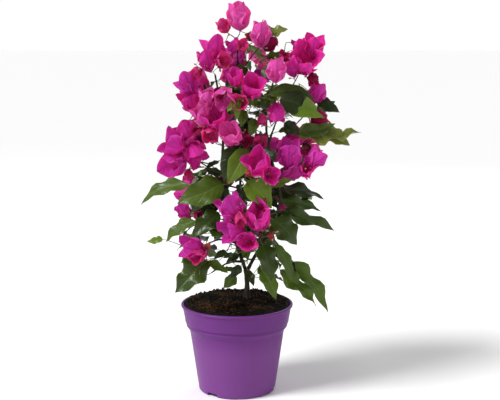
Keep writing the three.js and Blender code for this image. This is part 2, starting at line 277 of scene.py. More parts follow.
@dataclass(frozen=True)
class CompostFinish:
    """Dark moist compost, with browner crumbs; its colours are darkened further as painted shade from the
    crown above.
    """

    name: str
    wet_and_shade: Colour
    dry: Colour
    grain: float = 260.0

    def make(self) -> bpy.types.Material:
        """Lays the nodes."""
        coat = Finish(self.name)
        patches = coat.mottle(38.0, 6.0).ramp(0.46, 0.66)
        grain = coat.mottle(self.grain, 8.0)
        colour = coat.blend(patches * grain, self.wet_and_shade, self.dry)
        return coat.close(
            {
                "Base Color": colour,
                "Roughness": 0.98 - 0.25 * grain,
                "Specular IOR Level": 0.12,
                "Normal": coat.bump(grain, 0.9, 0.002),
            }
        )


@dataclass(frozen=True)
class BarkFinish:
    """Grey-brown bark, split along the limb, with green left in young wood."""

    name: str
    ridge: Colour
    split: Colour
    moss: Colour

    def make(self) -> bpy.types.Material:
        """Lays the nodes."""
        coat = Finish(self.name)
        run = coat.stretched((1.0, 1.0, 0.16))
        splits = coat.mottle(520.0, 6.0, run).ramp(0.38, 0.62)
        patches = coat.mottle(70.0, 4.0).ramp(0.45, 0.65)
        body = coat.blend(splits, self.split, self.ridge)
        return coat.close(
            {
                "Base Color": coat.blend(0.5 * patches, body, self.moss),
                "Roughness": 0.9 - 0.15 * splits,
                "Specular IOR Level": 0.3,
                "Normal": coat.bump(splits + 0.4 * patches, 0.7, 0.0008),
            }
        )


@dataclass(frozen=True)
class BladeFinish:
    """A leaf's or bract's skin: its veins, the swelling between them, painted light along its rim and the
    light through it.
    """

    name: str
    face: Colour
    vein: Colour
    # Painted light: this paler rim colour stands for glow through a bract's rim and sheen along a leaf's
    # rim.
    edge: Colour
    through: Colour
    veins: float = 7.0
    slant: float = 1.9
    vein_share: float = 0.45
    relief: float = 0.5
    roughness: float = 0.25
    gloss: float = 0.32
    glow_through: float = 0.2
    mottle: float = 0.25

    def make(self) -> bpy.types.Material:
        """Lays the nodes."""
        coat = Finish(self.name)
        along, across = coat.blade_place()
        out = abs(across)
        beat = (along * self.veins - out * self.slant).wrapped()
        side_vein = (abs(beat - 0.5) * 2.0).ramp(0.72, 1.0) * out.ramp(1.0, 0.75)
        midrib = out.ramp(0.11, 0.02)
        veins = side_vein * 0.55 + midrib
        cloud = coat.mottle(55.0, 3.0)
        skin = coat.blend(cloud, shaded(self.face, 1 - self.mottle), shaded(self.face, 1 + self.mottle))
        # Painted light: the outer fifth of the blade turns up to halfway to the paler rim colour.
        painted_rim_light = coat.blend(out.ramp(0.80, 1.0) * 0.5, skin, self.edge)
        colour = coat.blend(veins * self.vein_share, painted_rim_light, self.vein)
        crumple = coat.mottle(330.0, 3.0)
        return coat.close(
            {
                "Base Color": colour,
                "Roughness": self.roughness + 0.15 * cloud,
                "Specular IOR Level": self.gloss,
                "Normal": coat.bump(0.35 * crumple - veins, self.relief, 0.0011),
            },
            self.glow_through,
            self.through,
        )


@dataclass(frozen=True)
class PetalFinish:
    """Plain soft skin of buds, flower tubes and stars."""

    name: str
    foot: Colour
    top: Colour
    roughness: float = 0.6

    def make(self) -> bpy.types.Material:
        """Lays the nodes."""
        coat = Finish(self.name)
        along, _ = coat.blade_place()
        cloud = coat.mottle(240.0, 3.0)
        colour = coat.blend(along.ramp(0.2, 0.9), self.foot, self.top)
        return coat.close(
            {
                "Base Color": coat.blend(0.35 * cloud, colour, shaded(self.foot, 0.6)),
                "Roughness": self.roughness + 0.1 * cloud,
                "Normal": coat.bump(cloud, 0.3, 0.0005),
            },
            0.12,
            self.top,
        )


@dataclass(frozen=True)
class FloorFinish:
    """Plain pale studio floor."""

    face: Colour = (0.93, 0.93, 0.93)

    def make(self) -> bpy.types.Material:
        """Lays the nodes."""
        coat = Finish("studio_floor")
        tone = coat.blend(coat.mottle(3.0), shaded(self.face, 0.99), self.face)
        return coat.close({"Base Color": tone, "Roughness": 0.8, "Specular IOR Level": 0.2})


class Tone(Enum):
    """Greens of the leaves, one to a leaf; the darkest is partly painted shade."""

    # Partly painted shade: this near-black green is given to leaves deep in the crown and behind lit
    # leaves, where shade falls.
    DARK = BladeFinish(
        "leaf_dark_and_shade",
        face=(0.016, 0.029, 0.005),
        vein=(0.042, 0.066, 0.014),
        edge=(0.032, 0.050, 0.010),
        through=(0.03, 0.06, 0.004),
        glow_through=0.12,
    )
    DEEP = BladeFinish(
        "leaf_deep",
        face=(0.033, 0.058, 0.008),
        vein=(0.085, 0.125, 0.022),
        edge=(0.100, 0.140, 0.030),
        through=(0.06, 0.13, 0.006),
        gloss=0.40,
    )
    MID = BladeFinish(
        "leaf_mid",
        face=(0.062, 0.104, 0.011),
        vein=(0.130, 0.190, 0.032),
        edge=(0.110, 0.160, 0.025),
        through=(0.11, 0.21, 0.01),
    )
    LIGHT = BladeFinish(
        "leaf_light",
        face=(0.110, 0.185, 0.014),
        vein=(0.175, 0.265, 0.040),
        edge=(0.230, 0.290, 0.060),
        through=(0.18, 0.32, 0.02),
        glow_through=0.25,
    )
    OLIVE = BladeFinish(
        "leaf_olive",
        face=(0.135, 0.158, 0.028),
        vein=(0.220, 0.245, 0.066),
        edge=(0.230, 0.245, 0.080),
        through=(0.18, 0.22, 0.02),
    )


def bract_finish(name: str, face: Colour, vein: Colour) -> BladeFinish:
    """A bract's skin.

    Args:
        name: the material's name.
        face: colour between the veins.
        vein: colour of the veins.

    Returns:
        The finish: papery, a little glossy, with a painted glow along the rim, and warmer where light comes
            through.
    """
    red, green, blue = face
    return BladeFinish(
        name,
        face,
        vein,
        # Painted light: a lighter, whiter pink at the rim, for glow through the thin rim.
        edge=(red * 1.3, green * 3 + 0.04, blue * 1.35),
        through=(red * 1.5, green * 0.8, blue * 0.8),
        veins=6.0,
        slant=2.4,
        vein_share=0.38,
        relief=0.8,
        roughness=0.5,
        gloss=0.15,
        glow_through=0.33,
        mottle=0.12,
    )


class Tint(Enum):
    """Pinks of the bract heads, one to a head; the pale tint is partly painted light and the wine tint
    partly painted shade.
    """

    MAGENTA = bract_finish("bract_magenta", (0.62, 0.028, 0.36), (0.32, 0.008, 0.16))
    # Partly painted light: a paler pink, given to heads that catch the light, such as those on top of the
    # crown.
    PALE_AND_LIT = bract_finish("bract_pale_and_lit", (0.70, 0.095, 0.47), (0.45, 0.020, 0.25))
    PURPLE = bract_finish("bract_purple", (0.57, 0.036, 0.41), (0.30, 0.010, 0.20))
    ROSE = bract_finish("bract_rose", (0.62, 0.045, 0.26), (0.34, 0.012, 0.10))
    # Partly painted shade: a darker, redder pink, given to small heads where the crown and the insides of
    # heads lie in shade.
    WINE_AND_SHADE = bract_finish("bract_wine_and_shade", (0.30, 0.010, 0.085), (0.16, 0.004, 0.04))
    YOUNG = bract_finish("bract_young", (0.42, 0.075, 0.085), (0.38, 0.14, 0.06))


# ---------------------------------------------------------------- small shapes and joined meshes


def unit(vector: np.ndarray) -> np.ndarray:
    """The vector at length one."""
    return vector / max(float(np.linalg.norm(vector)), 1e-9)


def heading(turn: float, lift: float) -> np.ndarray:
    """Direction of a compass turn and a lift.

    Args:
        turn: degrees from +X towards +Y, so that -90 faces the front.
        lift: degrees above level.

    Returns:
        A unit vector.
    """
    turn, lift = math.radians(turn), math.radians(lift)
    return np.array((math.cos(turn) * math.cos(lift), math.sin(turn) * math.cos(lift), math.sin(lift)))


def across(vector: np.ndarray, axis: np.ndarray) -> np.ndarray:
    """The part of a vector that is square to an axis, at length one."""
    flat = vector - axis * float(vector @ axis)
    if np.linalg.norm(flat) < 1e-3:
        flat = np.cross(axis, (0.31, 0.87, 0.22))
    return unit(flat)


def turned(vector: np.ndarray, axis: np.ndarray, degrees: float) -> np.ndarray:
    """A vector square to an axis, turned about it."""
    angle = math.radians(degrees)
    return vector * math.cos(angle) + np.cross(axis, vector) * math.sin(angle)


def smooth_line(points: np.ndarray, spacing: float) -> np.ndarray:
    """Draws a smooth curve through points.

    Args:
        points: the points, one to a row; columns past the third are blended as well.
        spacing: distance between the points that come back.

    Returns:
        The new rows.
    """
    padded = np.vstack((2 * points[0] - points[1], points, 2 * points[-1] - points[-2]))
    rows = []
    for index in range(len(points) - 1):
        before, start, end, after = padded[index : index + 4]
        steps = max(2, math.ceil(float(np.linalg.norm((end - start)[:3])) / spacing))
        share = np.linspace(0, 1, steps, endpoint=False)[:, None]
        bend = 2 * start + (end - before) * share
        bend = bend + (2 * before - 5 * start + 4 * end - after) * share**2
        rows.append((bend + (3 * start - before - 3 * end + after) * share**3) / 2)
    return np.vstack((*rows, points[-1:]))


class Pile:
    """Many small shapes that are joined into one mesh as they come."""

    def __init__(self, name: str, slot: str, material: bpy.types.Material) -> None:
        """Starts empty."""
        self.name = name
        self.slot = slot
        self.material = material
        self.points: list[np.ndarray] = []
        self.places: list[np.ndarray] = []
        self.corners: list[np.ndarray] = []
        self.sizes: list[np.ndarray] = []
        self.count = 0

    def _add(self, points: np.ndarray, places: np.ndarray, faces: Sequence[np.ndarray]) -> None:
        """Adds points, their UV places, and faces of one or more corner counts."""
        for group in faces:
            self.corners.append(group.ravel() + self.count)
            self.sizes.append(np.full(len(group), group.shape[1]))
        self.points.append(points)
        self.places.append(places)
        self.count += len(points)

    def add_sheet(self, rows: np.ndarray) -> None:
        """Adds an open sheet whose front is the side from which its rows run up and its columns right.

        Args:
            rows: points as rows, columns and coordinates.
        """
        high, wide = rows.shape[:2]
        index = np.arange(high * wide).reshape(high, wide)
        quads = np.stack((index[:-1, :-1], index[:-1, 1:], index[1:, 1:], index[1:, :-1]), -1)
        along, over = np.meshgrid(np.linspace(0, 1, high), np.linspace(0, 1, wide), indexing="ij")
        places = np.stack((along, over), -1).reshape(-1, 2)
        self._add(rows.reshape(-1, 3), places, [quads.reshape(-1, 4)])

    def add_tube(self, line: np.ndarray, radii: np.ndarray, sides: int) -> None:
        """Adds a tube with closed ends.

        Args:
            line: points along its middle.
            radii: its radius at each.
            sides: how many sides it has.
        """
        run = np.gradient(line, axis=0)
        run /= np.maximum(np.linalg.norm(run, axis=1, keepdims=True), 1e-9)
        first = across(np.array((0.37, 0.21, 0.9)), run[0])
        sides_out = [first]
        for direction in run[1:]:
            sides_out.append(across(sides_out[-1], direction))
        right = np.array(sides_out)
        ahead = np.cross(run, right)
        angle = np.linspace(0, 2 * math.pi, sides, endpoint=False)
        ring = right[:, None] * np.cos(angle)[:, None] + ahead[:, None] * np.sin(angle)[:, None]
        points = (line[:, None] + ring * radii[:, None, None]).reshape(-1, 3)
        index = np.arange(len(line) * sides).reshape(len(line), sides)
        beside = np.roll(index, -1, 1)
        walls = np.stack((index[:-1], beside[:-1], beside[1:], index[1:]), -1).reshape(-1, 4)
        caps = np.stack((index[0, ::-1], index[-1]))
        along = np.repeat(np.linspace(0, 1, len(line)), sides)
        self._add(points, np.stack((along, np.full_like(along, 0.5)), -1), [walls, caps])

    def add_lump(self, centre: np.ndarray, reach: float, grain: np.random.Generator) -> None:
        """Adds a crumb: an eight-sided lump of uneven shape."""
        corners = np.array(((1, 0, 0), (0, 1, 0), (-1, 0, 0), (0, -1, 0), (0, 0, 1), (0, 0, -1)), float)
        corners *= grain.uniform(0.5, 1.0, (6, 1))
        tilt = np.linalg.qr(grain.normal(size=(3, 3)))[0]
        if np.linalg.det(tilt) < 0:
            tilt[:, 0] *= -1
        sides = [(side, (side + 1) % 4) for side in range(4)]
        faces = [(near, far, 4) for near, far in sides] + [(far, near, 5) for near, far in sides]
        self._add(centre + reach * corners @ tilt.T, np.full((6, 2), 0.5), [np.array(faces)])

    def build(self, nodes: Iterable[str] = ()) -> bpy.types.Object:
        """Makes the piece.

        Args:
            nodes: the solids that it stands for.

        Returns:
            The piece, riding on the plant's one body.
        """
        mesh = bpy.data.meshes.new(self.name)
        sizes = np.concatenate(self.sizes)
        corners = np.concatenate(self.corners)
        mesh.vertices.add(self.count)
        mesh.vertices.foreach_set("co", np.concatenate(self.points).astype(np.float32).ravel())
        mesh.loops.add(len(corners))
        mesh.loops.foreach_set("vertex_index", corners.astype(np.int32))
        mesh.polygons.add(len(sizes))
        mesh.polygons.foreach_set("loop_start", (np.cumsum(sizes) - sizes).astype(np.int32))
        mesh.polygons.foreach_set("loop_total", sizes.astype(np.int32))
        mesh.update(calc_edges=True)
        mesh.polygons.foreach_set("use_smooth", np.ones(len(sizes), bool))
        layer = mesh.uv_layers.new(name="UVMap")
        layer.data.foreach_set("uv", np.concatenate(self.places)[corners].astype(np.float32).ravel())
        piece = bpy.data.objects.new(self.name, mesh)
        bpy.context.scene.collection.objects.link(piece)
        return settle(piece, self.material, nodes)


def settle(
    piece: bpy.types.Object, material: bpy.types.Material, nodes: Iterable[str] = ()
) -> bpy.types.Object:
    """Dresses a finished piece and ties it to the frame.

    Args:
        piece: the piece.
        material: its material.
        nodes: the solids that it stands for.

    Returns:
        The same piece.
    """
    piece.data.materials.clear()
    piece.data.materials.append(material)
    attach(piece, "root")
    nodes = list(nodes)
    if nodes:
        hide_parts(*nodes)
    triangles = sum(len(face.vertices) - 2 for face in piece.data.polygons)
    log.info("%s: %d triangles, stands for %d solids", piece.name, triangles, len(nodes))
    return piece


# ---------------------------------------------------------------- blades: leaves and bracts


def near_ends(count: int) -> np.ndarray:
    """Shares from 0 to 1 that lie closer together near both ends."""
    even = np.linspace(0, 1, count)
    return 0.5 * even + 0.5 * (1 - np.cos(math.pi * even)) / 2


def outline(along: np.ndarray, belly: float, point: float, least: float) -> np.ndarray:
    """Half width along a blade, as a share of its widest.

    Args:
        along: distance along the blade, 0 at its foot and 1 at its tip.
        belly: how slowly it widens from the foot; a low value gives a round foot.
        point: how slowly it narrows; over 1 it is drawn out to a fine tip.
        least: width that is left at both ends.

    Returns:
        The half widths.
    """
    peak = belly / (belly + point)
    shape = along**belly * (1 - along) ** point / (peak**belly * (1 - peak) ** point)
    return np.maximum(shape, least)


def creased(lean: np.ndarray, softness: float) -> np.ndarray:
    """Distance from the midrib, eased into a soft crease on it."""
    return np.sqrt(lean**2 + softness) - math.sqrt(softness)


@dataclass(frozen=True)
class Leaf:
    """One leaf: its foot and tip in shares of its mass's box, and how it is held.

    A seeded leaf is placed by the crown and leaves the first three out.
    """

    foot: Place = MIDDLE
    tip: Place = MIDDLE
    face: Pair = (0, 0)
    width: float = 0.6
    fold: float = 22.0
    arch: float = -25.0
    twist: float = 0.0
    wave: float = 0.2
    tone: Tone = Tone.MID
    sway: float = 0.0


@dataclass
class LeafCutter:
    """Cuts leaf blades: egg-shaped, with a drawn-out tip, folded along the midrib."""

    rows: int = 15
    columns: int = 9
    belly: float = 0.58
    point: float = 1.00
    waves: float = 2.4
    rim_droop: float = 0.18
    crease: float = 0.03
    rib_swell: float = 0.03
    end_width: float = 0.03
    hook: float = 0.05
    drift: float = 0.04
    stalk: float = 0.0095

    def cut(
        self, foot: np.ndarray, tip: np.ndarray, face: np.ndarray, leaf: Leaf, grain: np.random.Generator
    ) -> np.ndarray:
        """Shapes one blade.

        Args:
            foot: where the blade starts.
            tip: where it ends.
            face: the way that its upper side looks.
            leaf: its proportions.
            grain: source of its small unevenness.

        Returns:
            Points as rows, columns and coordinates, with the upper side in front.
        """
        length = float(np.linalg.norm(tip - foot))
        run = unit(tip - foot)
        rise = across(face, run)
        side = np.cross(run, rise)
        along = near_ends(self.rows)
        lean = np.linspace(-1, 1, self.columns)
        half = leaf.width * length / 2 * outline(along, self.belly, self.point, self.end_width)
        arch = -math.radians(leaf.arch) * length / 8 * 4 * along * (1 - along)
        hook = -grain.uniform(0.0, self.hook) * length * np.clip((along - 0.7) / 0.3, 0, 1) ** 2
        drift = grain.uniform(-self.drift, self.drift)
        bow = drift * np.sin(2 * math.pi * along * 0.8 + grain.uniform(0, 6))
        sway = (bow + leaf.sway) * length * along * (1 - along) * 4
        middle = foot + np.outer(along * length, run) + np.outer(arch + hook, rise) + np.outer(sway, side)
        twist = np.radians(leaf.twist) * (along - 0.3)
        out = np.outer(np.cos(twist), side) + np.outer(np.sin(twist), rise)
        up = np.outer(np.cos(twist), rise) - np.outer(np.sin(twist), side)
        fold = math.radians(leaf.fold)
        off = np.abs(lean)
        soft = creased(lean, self.crease)
        beat = grain.uniform(0, 2 * math.pi, 2)
        phase = np.where(lean < 0, beat[0], beat[1])
        count = self.waves * grain.uniform(0.8, 1.25)
        wave = leaf.wave * off**1.7 * np.sin(2 * math.pi * count * along[:, None] + phase)
        height = soft * math.sin(fold) - self.rim_droop * off**3 + wave
        height += self.rib_swell * np.cos(14 * math.pi * (along[:, None] - 0.25 * off)) * off * (1 - off)
        lobes = np.sin(2 * math.pi * count * along[:, None] + phase + 1.2)
        spread = lean * math.cos(fold) * (1 + (0.03 + 0.3 * leaf.wave) * lobes)
        flat = out[:, None] * (half[:, None] * spread)[..., None]
        return middle[:, None] + flat + up[:, None] * (half[:, None] * height)[..., None]


@dataclass(frozen=True)
class Head:
    """One head of three bracts: its middle in shares of its mass's box, and how it is held.

    A seeded head is placed by the crown and leaves its place and aim out.
    """

    place: Place = MIDDLE
    length: float = 0.04
    aim: Pair = (0, 0)
    turn: float = 0.0
    opening: float = 0.3
    tint: Tint = Tint.MAGENTA


@dataclass
class BractCutter:
    """Cuts bracts: broad papery blades, keeled and crumpled, in threes round a stalk."""

    rows: int = 25
    columns: int = 11
    belly: float = 0.42
    point: float = 0.54
    width: float = 0.87
    shut_lean: Pair = (42.0, -8.0)
    open_lean: Pair = (56.0, 36.0)
    fold: Pair = (36.0, 32.0)
    pleat: float = 0.032
    crumple: float = 0.040
    wave: float = 0.090
    margin_waves: float = 1.9
    ribs: int = 5
    crease: float = 0.02
    end_width: float = 0.02

    def cut(
        self, foot: np.ndarray, axis: np.ndarray, out: np.ndarray, length: float, opening: float,
        grain: np.random.Generator,
    ) -> tuple[np.ndarray, np.ndarray, np.ndarray]:
        """Shapes one bract.

        Args:
            foot: where it joins the stalk.
            axis: the way that its head points.
            out: the way that it leans out from the axis.
            length: its length.
            opening: how far the head has opened, from 0 to 1.
            grain: source of its small unevenness.

        Returns:
            Points as rows, columns and coordinates, the midrib, and the inward direction along it.
        """
        along = near_ends(self.rows)
        lean = np.linspace(-1, 1, self.columns)
        start = np.interp(opening, (0, 1), (self.shut_lean[0], self.open_lean[0])) + grain.uniform(-5, 5)
        end = np.interp(opening, (0, 1), (self.shut_lean[1], self.open_lean[1])) + grain.uniform(-10, 10)
        tilt = np.radians(start + (end - start) * along)
        run = np.outer(np.cos(tilt), axis) + np.outer(np.sin(tilt), out)
        inward = np.outer(np.sin(tilt), axis) - np.outer(np.cos(tilt), out)
        steps = np.diff(along, prepend=0)[:, None] * length
        midrib = foot + np.cumsum(run * steps, axis=0)
        side = np.cross(axis, out)
        width = self.width * grain.uniform(0.92, 1.1)
        half = width * length / 2 * outline(along, self.belly, self.point, self.end_width)
        fold = math.radians(np.interp(opening, (0, 1), self.fold) * grain.uniform(0.85, 1.15))
        off = np.abs(lean)
        soft = creased(lean, self.crease)
        phase = grain.uniform(0, 2 * math.pi, 5)
        rib = along[:, None] - 0.32 * off
        pleat = self.pleat * np.cos(2 * math.pi * self.ribs * rib) * off**0.5 * (1 - off**4)
        crumple = np.sin(9 * along[:, None] + 4 * lean + phase[0])
        crumple = crumple + 0.6 * np.sin(15 * along[:, None] - 7 * lean + phase[1])
        shift = np.where(lean < 0, phase[2], phase[3])
        margin = off**2 * np.sin(2 * math.pi * self.margin_waves * along[:, None] + shift)
        relief = (pleat + self.crumple * crumple * off + self.wave * margin) * length
        relief *= np.sin(math.pi * np.clip(along, 0.02, 0.98))[:, None] ** 0.5
        reach = half[:, None] * soft * math.sin(fold) * (0.7 + 0.3 * off) + relief
        spread = half[:, None] * lean * math.cos(fold * 0.9)
        spread = spread * (1 + 0.04 * np.sin(11 * along[:, None] + phase[4]))
        points = midrib[:, None] + side * spread[..., None] + inward[:, None] * reach[..., None]
        return points, midrib, inward


# ---------------------------------------------------------------- limbs and twigs


@dataclass
class Limb:
    """The middle line and radii of one trunk, stem or bough."""

    name: str
    line: np.ndarray
    radii: np.ndarray


@dataclass
class Wood:
    """Trunk, stems and boughs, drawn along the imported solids, with the bark's relief."""

    finish: BarkFinish = BarkFinish(
        "bark", ridge=(0.056, 0.040, 0.024), split=(0.011, 0.008, 0.005), moss=(0.027, 0.030, 0.012)
    )
    ring_gap: float = 0.0035
    spacing: float = 0.003
    voxel: float = 0.00062
    ridge: float = 0.00042
    scar_spacing: float = 0.021
    scar_swell: float = 0.10
    split_scale: Place = (900, 900, 110)
    lump_scale: float = 260
    limbs: list[Limb] = field(default_factory=list)

    def names(self) -> list[str]:
        """The solids that are wood."""
        return [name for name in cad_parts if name.startswith(("trunk", "stem", "bough"))]

    def read(self) -> None:
        """Reads each limb's rings from its solid, thick end first."""
        for name in self.names():
            points = np.array([corner.co[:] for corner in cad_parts[name].data.vertices])
            points = np.unique(points.round(6), axis=0)
            middle = points.mean(0)
            main = np.linalg.svd(points - middle, full_matrices=False)[2][0]
            along = (points - middle) @ main
            order = np.argsort(along)
            breaks = np.flatnonzero(np.diff(along[order]) > self.ring_gap) + 1
            rings = [points[group] for group in np.split(order, breaks) if len(group) > 3]
            line = np.array([ring.mean(0) for ring in rings])
            radii = np.array([np.linalg.norm(ring - ring.mean(0), axis=1).mean() for ring in rings])
            if radii[0] < radii[-1]:
                line, radii = line[::-1], radii[::-1]
            if not name.startswith("trunk"):
                root = line[0] + unit(line[0] - line[1]) * radii[0] * 1.6
                line, radii = np.vstack((root, line)), np.concatenate((radii[:1], radii))
            rows = smooth_line(np.column_stack((line, radii)), self.spacing)
            self.limbs.append(Limb(name, rows[:, :3], rows[:, 3]))

    def _swell(self, limb: Limb) -> np.ndarray:
        """A limb's radii, thickened at its leaf scars."""
        steps = np.concatenate(([0], np.cumsum(np.linalg.norm(np.diff(limb.line, axis=0), axis=1))))
        beat = (steps / self.scar_spacing) % 1.0
        return limb.radii * (1 + self.scar_swell * np.exp(-(((beat - 0.5) / 0.11) ** 2)))

    def _relief(self, piece: bpy.types.Object) -> None:
        """Pushes the bark in and out along its split ridges."""
        count = len(piece.data.vertices)
        places, normals = np.empty(count * 3, np.float32), np.empty(count * 3, np.float32)
        piece.data.vertices.foreach_get("co", places)
        piece.data.vertex_normals.foreach_get("vector", normals)
        places, normals = places.reshape(-1, 3), normals.reshape(-1, 3)
        height = np.empty(count, np.float32)
        for index, place in enumerate(places):
            ridge = noise.noise(Vector(place * self.split_scale))
            height[index] = 0.9 * ridge + 0.6 * noise.noise(Vector(place * self.lump_scale))
        places += normals * (self.ridge * height)[:, None]
        piece.data.vertices.foreach_set("co", places.ravel())
        piece.data.update()

    def build(self) -> bpy.types.Object:
        """Makes the wood as one closed skin.

        Returns:
            The piece.
        """
        bpy.ops.object.select_all(action="DESELECT")
        for limb in self.limbs:
            curve = bpy.data.curves.new(limb.name + "_core", "CURVE")
            curve.dimensions = "3D"
            curve.bevel_depth = 1.0
            curve.bevel_resolution = 3
            curve.use_fill_caps = True
            spline = curve.splines.new("POLY")
            spline.points.add(len(limb.line) - 1)
            spline.points.foreach_set("co", np.column_stack((limb.line, np.ones(len(limb.line)))).ravel())
            spline.points.foreach_set("radius", self._swell(limb))
            core = bpy.data.objects.new(curve.name, curve)
            bpy.context.scene.collection.objects.link(core)
            core.select_set(True)
            bpy.context.view_layer.objects.active = core
        bpy.ops.object.convert(target="MESH")
        bpy.ops.object.join()
        piece = bpy.context.view_layer.objects.active
        piece.name = "wood"
        skin = piece.modifiers.new("skin", "REMESH")
        skin.mode = "VOXEL"
        skin.voxel_size = self.voxel
        skin.use_smooth_shade = True
        bpy.ops.object.modifier_apply(modifier="skin")
        self._relief(piece)
        return settle(piece, self.finish.make(), self.names())


class Twigs:
    """Twigs, leaf stalks and flower stalks, each grown from the nearest wood that is there already."""

    woody_from: float = 0.022
    thickest: float = 0.0012
    taper: float = 0.0095
    touching: float = 0.002
    climb_cost: float = 0.2
    rise: float = 0.06
    waver: float = 0.025
    run_in: float = 0.016
    step: float = 0.004

    def __init__(self, wood: Wood, grain: np.random.Generator) -> None:
        """Takes the limbs as the first wood."""
        bark = BarkFinish(
            "twig_bark",
            ridge=(0.070, 0.060, 0.026),
            split=(0.030, 0.024, 0.012),
            moss=(0.050, 0.070, 0.018),
        )
        green = PetalFinish("stalk_green", (0.095, 0.130, 0.035), (0.200, 0.260, 0.060), 0.5)
        self.brown = Pile("twigs", "bark", bark.make())
        self.green = Pile("stalks", "leaf", green.make())
        self.grain = grain
        self.grown = np.vstack([limb.line for limb in wood.limbs])

    def gap(self, place: np.ndarray) -> float:
        """Distance from a place to the nearest wood."""
        return float(np.linalg.norm(self.grown - place, axis=1).min())

    def grow(self, end: np.ndarray, aim: np.ndarray, tip_radius: float) -> None:
        """Grows one twig.

        Args:
            end: where it ends, at the foot of a leaf or a head.
            aim: the way that it runs there.
            tip_radius: its radius there.
        """
        reach = np.linalg.norm(self.grown - end, axis=1)
        climb = np.maximum(0, self.grown[:, 2] - end[2])
        start = self.grown[int(np.argmin(reach + self.climb_cost * climb))]
        span = float(np.linalg.norm(end - start))
        if span < self.touching:
            return
        bend = self.grain.normal(0, self.waver, 3) * span
        lift = start + (end - start) * 0.35 + UP * self.rise * span + bend
        close = end - aim * min(0.4 * span, self.run_in)
        share = np.linspace(0, 1, max(4, math.ceil(span / self.step)))[:, None]
        line = (1 - share) ** 3 * start + 3 * (1 - share) ** 2 * share * lift
        line = line + 3 * (1 - share) * share**2 * close + share**3 * end
        thick = min(self.thickest, tip_radius + self.taper * span)
        radii = np.linspace(thick, tip_radius, len(line))
        woody = span > self.woody_from
        (self.brown if woody else self.green).add_tube(line, radii, 6 if woody else 5)
        self.grown = np.vstack((self.grown, line[1:]))

    def build(self) -> None:
        """Makes both pieces."""
        self.brown.build()
        self.green.build()


# ---------------------------------------------------------------- how the front of the crown is held

